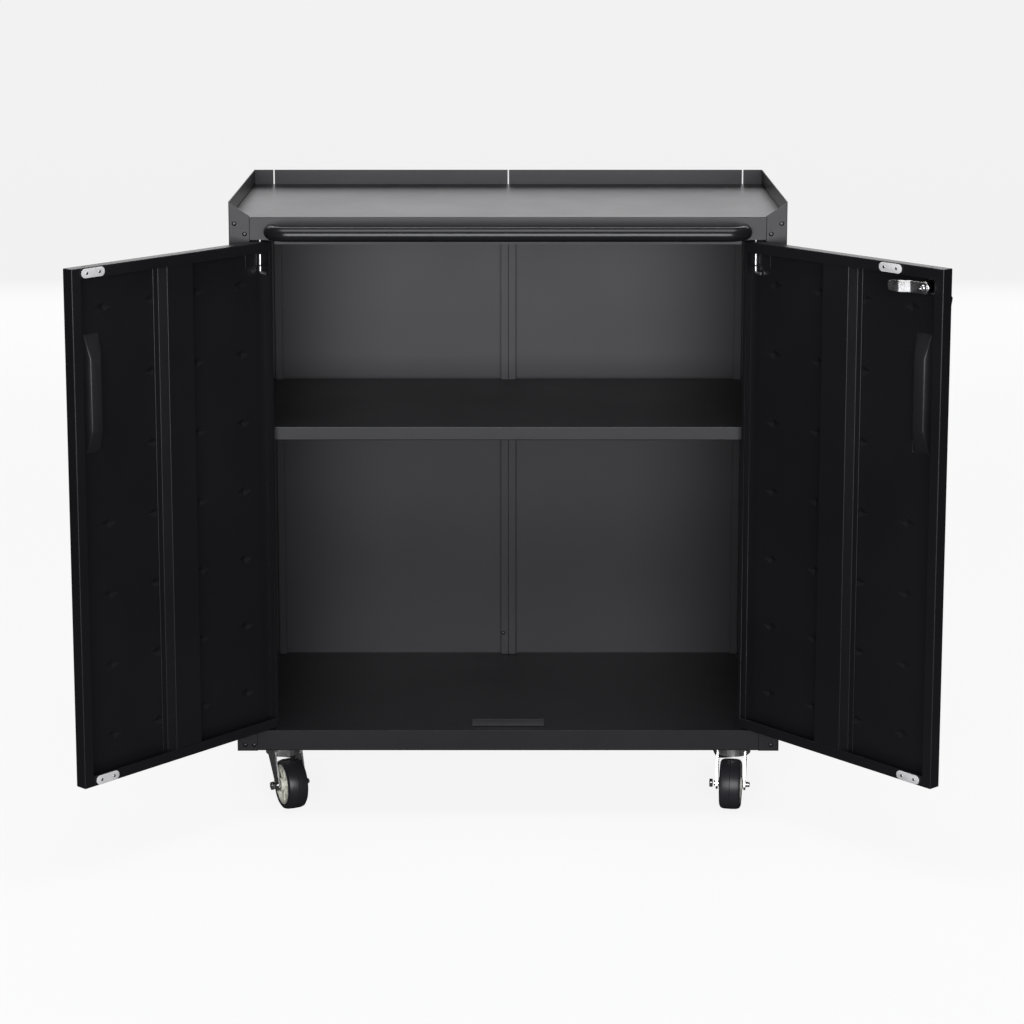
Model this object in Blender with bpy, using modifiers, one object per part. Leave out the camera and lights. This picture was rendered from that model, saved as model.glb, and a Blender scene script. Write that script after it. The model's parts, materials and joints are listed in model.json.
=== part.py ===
"""Rolling tool chest: sheet-metal cabinet with two doors, an adjustable shelf, a top tray,
a push handle and four swivel casters. Metres, +Z up, front towards -Y."""
import math

import bmesh
import bpy
from mathutils import Matrix, Vector

# ---------------------------------------------------------------- driving dimensions
WIDTH = 0.800
DEPTH = 0.400
BODY_HEIGHT = 0.818
CASTER_HEIGHT = 0.107
SHEET = 0.001
GAP = 0.0003
FLANGE = 0.030
TRAY_DEPTH = 0.0225
FASCIA_HEIGHT = 0.033
BASE_HEIGHT = 0.031

CORNER_CUT_TOP = 0.0016
CORNER_CUT_DROP = 0.0190
PANEL_EDGE = 0.011
PANEL_LIP = 0.0115
SEAM_SLIT = 0.002
SEAM_STRIP_WIDTH = 0.030
TRAY_FLANGE = 0.012
BASE_LIP = 0.130
BASE_LIP_FRONT = 0.028
STOP_PLAY = 0.0012
STOP_DROP = 0.009
STOP_HALF = 0.337
BRACKET_HALF = 0.0535
BRACKET_HEIGHT = 0.0105
BRACKET_FOOT = 0.019
MAGNET_SIZE = (0.046, 0.010, 0.012)

POST_INSET = 0.050
POST_BEHIND_STOP = 0.005
POST_RETURN = 0.024
SLOT_PITCH = 0.0366
SLOT_FIRST = 0.1352
SLOT_LENGTH = 0.011
SLOT_HEIGHT = 0.003
SLOT_INSET = 0.003
SHELF_SLOT = 6
SHELF_HEIGHT = 0.0196
SHELF_CLEARANCE = 0.0015
SHELF_FRONT = 0.024
CLIP_THICKNESS = 0.002
CLIP_REACH = 0.013
CLIP_DROP = 0.012

HANDLE_RADIUS = 0.01025
HANDLE_REACH = 0.040
HANDLE_FROM_SIDE = 0.06125
HANDLE_BEND = 0.028
HANDLE_DROP = 0.042

DOOR_OPEN = math.radians(131.8)
DOOR_THICKNESS = 0.018
DOOR_SIDE_GAP = 0.002
DOOR_TOP_GAP = 0.002
DOOR_BOTTOM_GAP = 0.004
DOOR_CENTRE_GAP = 0.0015
DOOR_LIP = 0.015
DOOR_HINGE_LIP = 0.006
PIN_FROM_EDGE = 0.014
PIN_DEPTH = 0.0052
PIN_RADIUS = 0.00225
PIN_PLAY = 0.0001
PIN_RISE = 0.003
PIN_BELOW_TOP = 0.0460
PIN_HOOK = 0.010
LOWER_PIN_HEIGHT = 0.010
EAR_SPACING = 0.018
EAR_DROP = 0.0170
EAR_THICKNESS = 0.0015
BRACKET_WIDTH = 0.031
EDGE_HOLE_RADIUS = 0.002
EDGE_HOLE_INSET = 0.028

STIFFENER_PLACE = 0.458
STIFFENER_WEB = 0.047
STIFFENER_DRAFT = 0.0045
STIFFENER_WING = 0.009
DIAMOND_COLUMNS = 4
DIAMOND_ROWS = 7
DIAMOND_HALF_WIDTH = 0.015
DIAMOND_HALF_HEIGHT = 0.0075
DIAMOND_DEPTH = 0.0025
DIAMOND_FROM_PIN = 0.0345
DIAMOND_FROM_FREE_EDGE = 0.067
DIAMOND_FROM_END = 0.060
PULL_FROM_EDGE = 0.0455
PULL_WIDTH = 0.028
PULL_HEIGHT = 0.167
PULL_BELOW_TOP = 0.1775
PULL_DEPTH = 0.0140
PULL_WALL = 0.0012
PULL_BEZEL = 0.003
STRIKE_LENGTH = 0.040
STRIKE_WIDTH = 0.013
STRIKE_THICKNESS = 0.0015
STRIKE_FROM_EDGE = 0.0360
LOWER_STRIKE_FROM_EDGE = 0.0395
STRIKE_CLEAR_OF_LOCK = 0.056

LOCK_FROM_EDGE = 0.0295
LOCK_BELOW_TOP = 0.0275
LOCK_BARREL = 0.009
LOCK_BEZEL = 0.011
LOCK_BEZEL_RISE = 0.0022
LOCK_BARREL_LENGTH = 0.0240
PLUG_RADIUS = 0.0055
NUT_RADIUS = 0.0125
NUT_THICKNESS = 0.0030
CAM_LENGTH = 0.052
CAM_WIDTH = 0.016
CAM_THICKNESS = 0.002
CAM_CRANK_AT = 0.020
CAM_CRANK_RUN = 0.014
CAM_PAST_MAGNET = 0.002
KEY_THICKNESS = 0.0022
KEY_BLADE = 0.0064
KEY_BOW_LENGTH = 0.023
KEY_BOW_HEIGHT = 0.019
KEY_BLADE_IN = 0.018
KEY_NECK = 0.006
RING_RADIUS = 0.008
RING_WIRE = 0.0008
RING_HOLE = 0.0026
SPARE_TILT = math.radians(14)
SPARE_HOLE_FROM_SIDE = 0.007
SPARE_HOLE_FROM_END = 0.0045

CASTER_FROM_SIDE = 0.0615
CASTER_FROM_END = 0.083
CASTER_PLATE = (0.064, 0.090)
PLATE_THICKNESS = 0.0028
CASTER_LEAD = 0.030
WHEEL_RADIUS = 0.0375
WHEEL_WIDTH = 0.0315
TYRE_DEPTH = 0.0075
FORK_INSIDE = 0.0390
FORK_SHEET = 0.0025
CROWN_RADIUS = 0.0275
CROWN_HEIGHT = 0.0125
WHEEL_CLEARANCE = 0.0035
RACEWAY_RADIUS = 0.0225
RUNNING_GAP = 0.0006
AXLE_RADIUS = 0.0040
AXLE_PLAY = 0.0001
NUT_DOME = 0.0065
NUT_LENGTH = 0.0065
CASTER_TURN = {
    "front_left": 24.0,
    "front_right": -8.0,
    "rear_left": -14.0,
    "rear_right": 10.0,
}

# ---------------------------------------------------------------- derived places
HALF = WIDTH / 2
BASE_Z = CASTER_HEIGHT
FLOOR_Z = BASE_Z + BASE_HEIGHT
RIM_Z = BASE_Z + BODY_HEIGHT
TRAY_Z = RIM_Z - TRAY_DEPTH
FASCIA_Z = TRAY_Z - FASCIA_HEIGHT
LAP_Y = SHEET + GAP
INNER_X = HALF - SHEET - GAP
FLANGE_X = HALF - FLANGE
PANEL_BACK_Y = DEPTH
PANEL_LIP_Y = DEPTH - PANEL_EDGE
POST_X = HALF - POST_INSET
STOP_DEPTH = DOOR_THICKNESS + STRIKE_THICKNESS + GAP + STOP_PLAY
POST_Y = STOP_DEPTH + POST_BEHIND_STOP
POST_TOP_Z = TRAY_Z - TRAY_FLANGE - SHEET - GAP
PIN_X = FLANGE_X - PIN_FROM_EDGE
DOOR_TOP_Z = FASCIA_Z - DOOR_TOP_GAP
DOOR_BOTTOM_Z = FLOOR_Z + DOOR_BOTTOM_GAP
DOOR_HINGE_U = -(PIN_FROM_EDGE - DOOR_SIDE_GAP)
DOOR_FREE_U = PIN_X - DOOR_CENTRE_GAP
DOOR_OUT_Y = -PIN_DEPTH
DOOR_IN_Y = DOOR_THICKNESS - PIN_DEPTH
DOOR_FLOOR_Y = DOOR_OUT_Y + SHEET
HANDLE_HALF = HALF - HANDLE_FROM_SIDE
SLOT_ZS = [RIM_Z - SLOT_FIRST - SLOT_PITCH * k
           for k in range(int((RIM_Z - SLOT_FIRST - FLOOR_Z) / SLOT_PITCH))]
CLIP_Z = SLOT_ZS[min(SHELF_SLOT, len(SLOT_ZS) - 1)]
SHELF_BOTTOM_Z = CLIP_Z + CLIP_THICKNESS / 2 + GAP
SHELF_TOP_Z = SHELF_BOTTOM_Z + SHELF_HEIGHT
LOCK_U = DOOR_FREE_U - LOCK_FROM_EDGE
LOCK_Z = DOOR_TOP_Z - LOCK_BELOW_TOP
PULL_U = DOOR_FREE_U - PULL_FROM_EDGE
PULL_Z = DOOR_TOP_Z - PULL_BELOW_TOP

# The open doors reach forward of the cabinet; the origin is on the floor at the middle of it all.
DOOR_REACH = DOOR_FREE_U * math.sin(DOOR_OPEN) - DOOR_IN_Y * math.cos(DOOR_OPEN) - PIN_DEPTH
FRONT_Y = -(DEPTH - DOOR_REACH) / 2


# ---------------------------------------------------------------- scene helpers
def start():
    """Empty the scene and make the two collections."""
    for old in list(bpy.data.objects):
        bpy.data.objects.remove(old, do_unlink=True)
    chest = bpy.data.collections.new("rolling_tool_chest")
    cutters = bpy.data.collections.new("cutters")
    for group in (chest, cutters):
        bpy.context.scene.collection.children.link(group)
    return chest, cutters


CHEST, CUTTERS = start()


def material(name, colour, roughness, metallic):
    mat = bpy.data.materials.new(name)
    mat.use_nodes = True
    shader = mat.node_tree.nodes["Principled BSDF"]
    shader.inputs["Base Color"].default_value = (*colour, 1.0)
    shader.inputs["Roughness"].default_value = roughness
    shader.inputs["Metallic"].default_value = metallic
    return mat


BLACK_COAT = material("black_powder_coat", (0.020, 0.020, 0.023), 0.45, 0.0)
ZINC = material("zinc_plate", (0.62, 0.62, 0.60), 0.30, 1.0)
CHROME = material("polished_steel", (0.75, 0.75, 0.75), 0.15, 1.0)
TYRE = material("black_tread", (0.018, 0.018, 0.020), 0.55, 0.0)
HUB = material("cream_hub", (0.72, 0.68, 0.55), 0.45, 0.0)
PLASTIC = material("black_plastic", (0.015, 0.015, 0.015), 0.40, 0.0)
MAGNET = material("dark_magnet", (0.06, 0.055, 0.05), 0.60, 0.0)


def empty(name, place, turn=0.0, parent=None):
    node = bpy.data.objects.new(name, None)
    node.location = place
    node.rotation_euler = (0.0, 0.0, turn)
    node.parent = parent
    CHEST.objects.link(node)
    return node


def put(name, mesh, mat, parent, group=None):
    """Link a mesh as an object under its parent."""
    node = bpy.data.objects.new(name, mesh)
    if mat is not None:
        mesh.materials.append(mat)
    node.parent = parent
    (group or CHEST).objects.link(node)
    return node


def mesh_of(name, build):
    mesh = bpy.data.meshes.new(name)
    work = bmesh.new()
    build(work)
    bmesh.ops.recalc_face_normals(work, faces=work.faces)
    work.to_mesh(mesh)
    work.free()
    return mesh


def add_box(work, low, high):
    size = [high[i] - low[i] for i in range(3)]
    centre = [(high[i] + low[i]) / 2 for i in range(3)]
    place = Matrix.Translation(centre) @ Matrix.Diagonal((*size, 1.0))
    bmesh.ops.create_cube(work, size=1.0, matrix=place)


def add_cylinder(work, centre, radius, length, axis, sides):
    turn = Vector((0, 0, 1)).rotation_difference(Vector(axis)).to_matrix().to_4x4()
    bmesh.ops.create_cone(work, cap_ends=True, segments=sides, radius1=radius, radius2=radius,
                          depth=length, matrix=Matrix.Translation(centre) @ turn)


def box(name, low, high, mat, parent, group=None):
    lows = [min(low[i], high[i]) for i in range(3)]
    highs = [max(low[i], high[i]) for i in range(3)]
    return put(name, mesh_of(name, lambda work: add_box(work, lows, highs)), mat, parent, group)


def cylinder(name, centre, radius, length, axis, mat, parent, sides=24, group=None):
    mesh = mesh_of(name, lambda work: add_cylinder(work, centre, radius, length, axis, sides))
    mesh.shade_smooth()
    mesh.set_sharp_from_angle(angle=math.radians(40))
    return put(name, mesh, mat, parent, group)


def fold(name, points, span, axis, thickness, mat, parent):
    """A folded sheet: a path of outer-face points pushed along an axis, given its thickness."""
    def corner(point, along):
        if axis == "z":
            return (point[0], point[1], along)
        if axis == "x":
            return (along, point[0], point[1])
        return (point[0], along, point[1])

    mesh = bpy.data.meshes.new(name)
    work = bmesh.new()
    rows = [[work.verts.new(corner(p, along)) for p in points] for along in span]
    for i in range(len(points) - 1):
        work.faces.new((rows[0][i], rows[0][i + 1], rows[1][i + 1], rows[1][i]))
    work.to_mesh(mesh)
    work.free()
    node = put(name, mesh, mat, parent)
    solid = node.modifiers.new("sheet", "SOLIDIFY")
    solid.thickness = thickness
    solid.offset = -1.0
    solid.use_even_offset = True
    return node


def boolean(node, other, operation):
    other.hide_render = True
    other.display_type = "WIRE"
    change = node.modifiers.new(other.name, "BOOLEAN")
    change.operation = operation
    change.solver = "EXACT"
    change.object = other


def cut_boxes(node, label, boxes, parent):
    """Cut one or more separate boxes from a piece."""
    def build(work):
        for low, high in boxes:
            add_box(work, low, high)
    cutter = put(label, mesh_of(label, build), None, parent, CUTTERS)
    boolean(node, cutter, "DIFFERENCE")


def cut_cylinders(node, label, holes, axis, parent, sides=24):
    """Cut round holes given as (centre, radius, length)."""
    def build(work):
        for centre, radius, length in holes:
            add_cylinder(work, centre, radius, length, axis, sides)
    cutter = put(label, mesh_of(label, build), None, parent, CUTTERS)
    boolean(node, cutter, "DIFFERENCE")


def weld(node, label, build, parent):
    """Unite a piece with another closed shape."""
    other = put(label, mesh_of(label, build), None, parent, CUTTERS)
    boolean(node, other, "UNION")


def turned(name, profile, axis_turn, place, mat, parent, steps=28):
    """A turned piece: a closed profile of (radius, height) spun about its axis with Screw."""
    mesh = bpy.data.meshes.new(name)
    count = len(profile)
    edges = [(i, (i + 1) % count) for i in range(count)]
    mesh.from_pydata([(r, 0.0, h) for r, h in profile], edges, [])
    node = put(name, mesh, mat, parent)
    node.location = place
    node.rotation_euler = axis_turn
    spin = node.modifiers.new("turn", "SCREW")
    spin.axis = "Z"
    spin.steps = steps
    spin.render_steps = steps
    spin.use_merge_vertices = True
    spin.merge_threshold = 0.00005
    spin.use_smooth_shade = True
    return node


def tube(name, points, radius, mat, parent, sides=3):
    """A round bar along a poly path, with closed ends."""
    curve = bpy.data.curves.new(name, "CURVE")
    curve.dimensions = "3D"
    curve.bevel_depth = radius
    curve.bevel_resolution = sides
    curve.use_fill_caps = True
    line = curve.splines.new("POLY")
    line.points.add(len(points) - 1)
    for point, place in zip(line.points, points):
        point.co = (*place, 1.0)
    curve.materials.append(mat)
    node = bpy.data.objects.new(name, curve)
    node.parent = parent
    CHEST.objects.link(node)
    return node


def arc(centre, radius, start, end, steps):
    """Points on an arc in a plane, angles in degrees."""
    angles = [math.radians(start + (end - start) * k / steps) for k in range(steps + 1)]
    return [(centre[0] + radius * math.cos(a), centre[1] + radius * math.sin(a)) for a in angles]


def plate(name, outline, low, high, axis, mat, parent, group=None):
    """A flat plate: a closed outline pushed between two places on an axis."""
    def build(work):
        def corner(point, along):
            if axis == "y":
                return (point[0], along, point[1])
            if axis == "x":
                return (along, point[0], point[1])
            return (point[0], point[1], along)
        first = [work.verts.new(corner(p, low)) for p in outline]
        second = [work.verts.new(corner(p, high)) for p in outline]
        work.faces.new(first)
        work.faces.new(list(reversed(second)))
        for i in range(len(outline)):
            j = (i + 1) % len(outline)
            work.faces.new((first[i], second[i], second[j], first[j]))
    return put(name, mesh_of(name, build), mat, parent, group)


# ---------------------------------------------------------------- cabinet body
def side_panel(side, root):
    """Full-height U-shaped sheet: front flange, wall, slotted rear flange."""
    name = "side_panel_" + ("left" if side < 0 else "right")
    path = [(side * FLANGE_X, DEPTH), (side * HALF, DEPTH), (side * HALF, 0.0), (side * FLANGE_X, 0.0)]
    if side > 0:
        path.reverse()
    panel = fold(name, path, (BASE_Z, RIM_Z), "z", SHEET, BLACK_COAT, root)
    top = RIM_Z - CORNER_CUT_TOP
    low = top - CORNER_CUT_DROP
    slant = (HALF - SHEET - FLANGE_X)
    inner = FLANGE_X - SHEET
    outline = [(side * (HALF - 1.2 * SHEET), top), (side * (HALF - 1.2 * SHEET), RIM_Z + SHEET),
               (side * inner, RIM_Z + SHEET), (side * inner, low - CORNER_CUT_DROP * SHEET / slant)]
    wedge = plate(name + "_corner_cut", outline, -SHEET, 2 * SHEET, "y", None, root, CUTTERS)
    boolean(panel, wedge, "DIFFERENCE")
    near = FLANGE_X + SLOT_INSET
    slots = [((min(side * near, side * (near + SLOT_LENGTH)), DEPTH - 3 * SHEET, z - SLOT_HEIGHT / 2),
              (max(side * near, side * (near + SLOT_LENGTH)), DEPTH + SHEET, z + SLOT_HEIGHT / 2))
             for z in SLOT_ZS]
    cut_boxes(panel, name + "_slots", slots, root)


def back_panel(side, root):
    """Back sheet with folded edges; above the tray it stands up plain as the tray's back wall."""
    name = "back_panel_" + ("left" if side < 0 else "right")
    near = GAP / 2
    far = FLANGE_X - GAP
    path = [(far - PANEL_LIP, PANEL_LIP_Y), (far, PANEL_LIP_Y), (far, PANEL_BACK_Y),
            (near, PANEL_BACK_Y), (near, PANEL_LIP_Y), (near + PANEL_LIP, PANEL_LIP_Y)]
    path = [(side * x, y) for x, y in path]
    if side < 0:
        path.reverse()
    panel = fold(name, path, (BASE_Z + GAP, RIM_Z), "z", SHEET, BLACK_COAT, root)
    under_tray = TRAY_Z - TRAY_FLANGE - SHEET - GAP
    low_x, high_x = sorted((side * -0.01, side * (far + SHEET)))
    cut_boxes(panel, name + "_tray_clear",
              [((low_x, PANEL_LIP_Y - SHEET, under_tray), (high_x, DEPTH - SHEET, RIM_Z + SHEET))], root)
    slits = []
    for a, b in ((-0.01, SEAM_SLIT / 2), (far + GAP - SEAM_SLIT, far + SHEET)):
        low_x, high_x = sorted((side * a, side * b))
        slits.append(((low_x, DEPTH - 2 * SHEET, TRAY_Z), (high_x, DEPTH + SHEET, RIM_Z + SHEET)))
    cut_boxes(panel, name + "_slits", slits, root)
    base = BASE_Z + BASE_HEIGHT + GAP
    low_x, high_x = sorted((side * -0.01, side * (far + SHEET)))
    cut_boxes(panel, name + "_base_clear",
              [((low_x, PANEL_LIP_Y - SHEET, BASE_Z - SHEET), (high_x, DEPTH - SHEET, base))], root)


def top_tray(root):
    """Tray floor, a shallow pan turned down at its edges."""
    low = (-INNER_X, LAP_Y + SHEET + GAP, TRAY_Z - TRAY_FLANGE - SHEET)
    high = (INNER_X, DEPTH - SHEET - GAP, TRAY_Z)
    tray = box("top_tray", low, high, BLACK_COAT, root)
    cut_boxes(tray, "tray_hollow", [((low[0] + SHEET, low[1] + SHEET, low[2] - SHEET),
                                     (high[0] - SHEET, high[1] - SHEET, high[2] - SHEET))], root)


def front_fascia(root):
    """Rail across the front: face, bottom return and the lip that stops the doors."""
    path = [(LAP_Y, TRAY_Z), (LAP_Y, FASCIA_Z), (STOP_DEPTH, FASCIA_Z), (STOP_DEPTH, FASCIA_Z - STOP_DROP)]
    fascia = fold("front_fascia", path, (-INNER_X, INNER_X), "x", SHEET, BLACK_COAT, root)
    ends = [((side * STOP_HALF, STOP_DEPTH - 2 * SHEET, FASCIA_Z - 2 * STOP_DROP),
             (side * HALF, STOP_DEPTH + 3 * SHEET, FASCIA_Z - GAP)) for side in (-1, 1)]
    ends = [tuple(zip(*(sorted(pair) for pair in zip(low, high)))) for low, high in ends]
    cut_boxes(fascia, "stop_lip_ends", ends, root)
    holes = [((side * PIN_X, PIN_DEPTH, FASCIA_Z), PIN_RADIUS + PIN_PLAY, 6 * SHEET) for side in (-1, 1)]
    cut_cylinders(fascia, "fascia_pin_holes", holes, (0, 0, 1), root)


def base_pan(root):
    """Base: cabinet floor, skirt all round, inward lips for the casters, fixed lower door pins."""
    low = (-INNER_X, LAP_Y, BASE_Z)
    high = (INNER_X, DEPTH - SHEET - GAP, FLOOR_Z)
    pan = box("base_pan", low, high, BLACK_COAT, root)
    inside = ((low[0] + SHEET, low[1] + SHEET, low[2] + SHEET),
              (high[0] - SHEET, high[1] - SHEET, high[2] - SHEET))
    cut_boxes(pan, "base_hollow", [inside], root)
    mouth = ((low[0] + BASE_LIP, low[1] + BASE_LIP_FRONT, low[2] - SHEET),
             (high[0] - BASE_LIP, high[1] - BASE_LIP_FRONT, low[2] + 2 * SHEET))
    cut_boxes(pan, "base_mouth", [mouth], root)

    def pins(work):
        for side in (-1, 1):
            length = LOWER_PIN_HEIGHT + SHEET / 2
            centre = (side * PIN_X, PIN_DEPTH, FLOOR_Z - SHEET / 2 + length / 2)
            add_cylinder(work, centre, PIN_RADIUS, length, (0, 0, 1), 24)
    weld(pan, "lower_pins", pins, root)


def rear_seam_strip(root):
    box("rear_seam_strip", (-SEAM_STRIP_WIDTH / 2, DEPTH + GAP, BASE_Z + GAP),
        (SEAM_STRIP_WIDTH / 2, DEPTH + GAP + SHEET, TRAY_Z - TRAY_FLANGE), BLACK_COAT, root)


def front_post(side, root):
    """Slotted upright behind each front flange; it carries the shelf clips."""
    name = "front_post_" + ("left" if side < 0 else "right")
    path = [(INNER_X, POST_Y + POST_RETURN), (INNER_X, POST_Y), (POST_X, POST_Y),
            (POST_X, POST_Y + POST_RETURN)]
    path = [(side * x, y) for x, y in path]
    if side > 0:
        path.reverse()
    post = fold(name, path, (FLOOR_Z + GAP, POST_TOP_Z), "z", SHEET, BLACK_COAT, root)
    near = POST_Y + SHEET + 2 * SLOT_INSET
    slots = []
    for z in SLOT_ZS:
        low_x, high_x = sorted((side * (POST_X - SHEET), side * (POST_X + 2 * SHEET)))
        slots.append(((low_x, near, z - SLOT_HEIGHT / 2), (high_x, near + SLOT_LENGTH, z + SLOT_HEIGHT / 2)))
    cut_boxes(post, name + "_slots", slots, root)


def shelf(root):
    """Shelf pan with its edges turned down, notched at the front around the posts."""
    wide = HALF - SHEET - SHELF_CLEARANCE
    nose = POST_X - SHELF_CLEARANCE
    back = PANEL_LIP_Y - SHELF_CLEARANCE
    step = POST_Y + POST_RETURN + SHELF_CLEARANCE
    outline = [(-nose, SHELF_FRONT), (nose, SHELF_FRONT), (nose, step), (wide, step), (wide, back),
               (-wide, back), (-wide, step), (-nose, step)]
    pan = plate("shelf", outline, SHELF_BOTTOM_Z, SHELF_TOP_Z, "z", BLACK_COAT, root)
    inner = [(-nose + SHEET, SHELF_FRONT + SHEET), (nose - SHEET, SHELF_FRONT + SHEET),
             (nose - SHEET, step + SHEET), (wide - SHEET, step + SHEET), (wide - SHEET, back - SHEET),
             (-wide + SHEET, back - SHEET), (-wide + SHEET, step + SHEET), (-nose + SHEET, step + SHEET)]
    hollow = plate("shelf_hollow", inner, SHELF_BOTTOM_Z - SHEET, SHELF_TOP_Z - SHEET, "z", None, root, CUTTERS)
    boolean(pan, hollow, "DIFFERENCE")


def shelf_clips(root):
    """Four clips: a ledge through a slot and a plate that hangs against the upright."""
    top = CLIP_Z + CLIP_THICKNESS / 2
    for side in (-1, 1):
        hand = "left" if side < 0 else "right"
        y0 = POST_Y + SHEET + 2 * SLOT_INSET + 0.001
        y1 = y0 + SLOT_LENGTH - 0.002
        clip = box("shelf_clip_front_" + hand,
                   (side * (POST_X + 0.006), y0, top - CLIP_THICKNESS),
                   (side * (POST_X - GAP - CLIP_REACH), y1, top), ZINC, root)

        def front_drop(work, side=side, y0=y0, y1=y1):
            xs = sorted((side * (POST_X - GAP), side * (POST_X - GAP - 0.0012)))
            add_box(work, (xs[0], y0, top - CLIP_DROP), (xs[1], y1, top))
        weld(clip, "clip_front_drop_" + hand, front_drop, root)

        x0 = FLANGE_X + SLOT_INSET + 0.001
        x1 = x0 + SLOT_LENGTH - 0.002
        rear = box("shelf_clip_rear_" + hand,
                   (side * x0, PANEL_LIP_Y - CLIP_REACH, top - CLIP_THICKNESS),
                   (side * x1, DEPTH - GAP, top), ZINC, root)

        def rear_drop(work, side=side, x0=x0, x1=x1):
            xs = sorted((side * x0, side * x1))
            y = DEPTH - SHEET - GAP
            add_box(work, (xs[0], y - 0.0012, top - CLIP_DROP), (xs[1], y, top))
        weld(rear, "clip_rear_drop_" + hand, rear_drop, root)


def door_stops(root):
    """Low stop bracket on the floor and two magnets behind the fascia lip."""
    path = [(STOP_DEPTH, FLOOR_Z + GAP + BRACKET_HEIGHT), (STOP_DEPTH, FLOOR_Z + GAP),
            (STOP_DEPTH + BRACKET_FOOT, FLOOR_Z + GAP)]
    fold("door_stop_bracket", path, (-BRACKET_HALF, BRACKET_HALF), "x", SHEET, BLACK_COAT, root)
    wide, deep, tall = MAGNET_SIZE
    for side, from_edge in ((-1, STRIKE_FROM_EDGE), (1, STRIKE_FROM_EDGE + STRIKE_CLEAR_OF_LOCK)):
        hand = "left" if side < 0 else "right"
        x = side * (DOOR_CENTRE_GAP + from_edge)
        y = STOP_DEPTH + SHEET + GAP
        z = FASCIA_Z - STOP_DROP + GAP
        box("magnet_catch_" + hand, (x - wide / 2, y, z), (x + wide / 2, y + deep, z + tall), MAGNET, root)


def push_handle(root):
    """One bent tube: out from the fascia, across the front and back again."""
    z = RIM_Z - HANDLE_DROP
    front = -HANDLE_REACH
    start = LAP_Y - GAP
    points = [(-HANDLE_HALF, start, z)]
    bend = arc((-HANDLE_HALF + HANDLE_BEND, front + HANDLE_BEND), HANDLE_BEND, 180, 270, 8)
    points += [(x, y, z) for x, y in bend]
    bend = arc((HANDLE_HALF - HANDLE_BEND, front + HANDLE_BEND), HANDLE_BEND, 270, 360, 8)
    points += [(x, y, z) for x, y in bend]
    points.append((HANDLE_HALF, start, z))
    tube("push_handle", points, HANDLE_RADIUS, BLACK_COAT, root, 4)


# ---------------------------------------------------------------- doors
def spread(side, low, high):
    """Box corners in door axes: u from the pin to the free edge, y inwards, z up."""
    xs = sorted((-side * low[0], -side * high[0]))
    return (xs[0], low[1], low[2]), (xs[1], high[1], high[2])


def door_skin(side, hand, axis):
    low, high = spread(side, (DOOR_HINGE_U, DOOR_OUT_Y, DOOR_BOTTOM_Z), (DOOR_FREE_U, DOOR_IN_Y, DOOR_TOP_Z))
    skin = box("door_skin_" + hand, low, high, BLACK_COAT, axis)
    hollow = spread(side, (DOOR_HINGE_U + SHEET, DOOR_FLOOR_Y, DOOR_BOTTOM_Z + SHEET),
                    (DOOR_FREE_U - SHEET, DOOR_IN_Y - SHEET, DOOR_TOP_Z - SHEET))
    cut_boxes(skin, "door_hollow_" + hand, [hollow], axis)
    mouth = spread(side, (DOOR_HINGE_U + DOOR_HINGE_LIP, DOOR_IN_Y - 2 * SHEET, DOOR_BOTTOM_Z + DOOR_LIP),
                   (DOOR_FREE_U - DOOR_LIP, DOOR_IN_Y + SHEET, DOOR_TOP_Z - DOOR_LIP))
    cut_boxes(skin, "door_mouth_" + hand, [mouth], axis)
    pull = spread(side, (PULL_U - PULL_WIDTH / 2 - GAP, DOOR_OUT_Y - SHEET, PULL_Z - PULL_HEIGHT / 2 - GAP),
                  (PULL_U + PULL_WIDTH / 2 + GAP, DOOR_FLOOR_Y + SHEET, PULL_Z + PULL_HEIGHT / 2 + GAP))
    cut_boxes(skin, "pull_opening_" + hand, [pull], axis)
    middle_y = (DOOR_OUT_Y + DOOR_IN_Y) / 2
    holes = [((0, 0, DOOR_TOP_Z), PIN_RADIUS + PIN_PLAY, 6 * SHEET),
             ((0, 0, DOOR_BOTTOM_Z), PIN_RADIUS + PIN_PLAY, 6 * SHEET),
             ((-side * (DOOR_FREE_U - EDGE_HOLE_INSET), middle_y, DOOR_TOP_Z), EDGE_HOLE_RADIUS, 6 * SHEET)]
    cut_cylinders(skin, "door_pin_holes_" + hand, holes, (0, 0, 1), axis)
    if side > 0:
        centre = (-side * LOCK_U, DOOR_OUT_Y, LOCK_Z)
        cut_cylinders(skin, "lock_hole", [(centre, LOCK_BARREL + GAP, 6 * SHEET)], (0, 1, 0), axis)
    press_diamonds(skin, side, hand, axis)


def diamond_places():
    """Where the skin is pressed outwards, clear of the pull and the lock."""
    last_u = DOOR_FREE_U - DIAMOND_FROM_FREE_EDGE
    pitch_u = (last_u - DIAMOND_FROM_PIN) / (DIAMOND_COLUMNS - 1)
    first_z = DOOR_TOP_Z - DIAMOND_FROM_END
    pitch_z = (first_z - DOOR_BOTTOM_Z - DIAMOND_FROM_END) / (DIAMOND_ROWS - 1)
    clear_u = PULL_WIDTH / 2 + PULL_BEZEL + DIAMOND_HALF_WIDTH
    clear_z = PULL_HEIGHT / 2 + PULL_BEZEL + DIAMOND_HALF_HEIGHT
    lock_room = NUT_RADIUS + DIAMOND_HALF_WIDTH
    places = []
    for column in range(DIAMOND_COLUMNS):
        for row in range(DIAMOND_ROWS):
            u, z = DIAMOND_FROM_PIN + pitch_u * column, first_z - pitch_z * row
            if abs(u - PULL_U) < clear_u and abs(z - PULL_Z) < clear_z:
                continue
            if abs(u - LOCK_U) < lock_room and abs(z - LOCK_Z) < lock_room:
                continue
            places.append((u, z))
    return places


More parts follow.
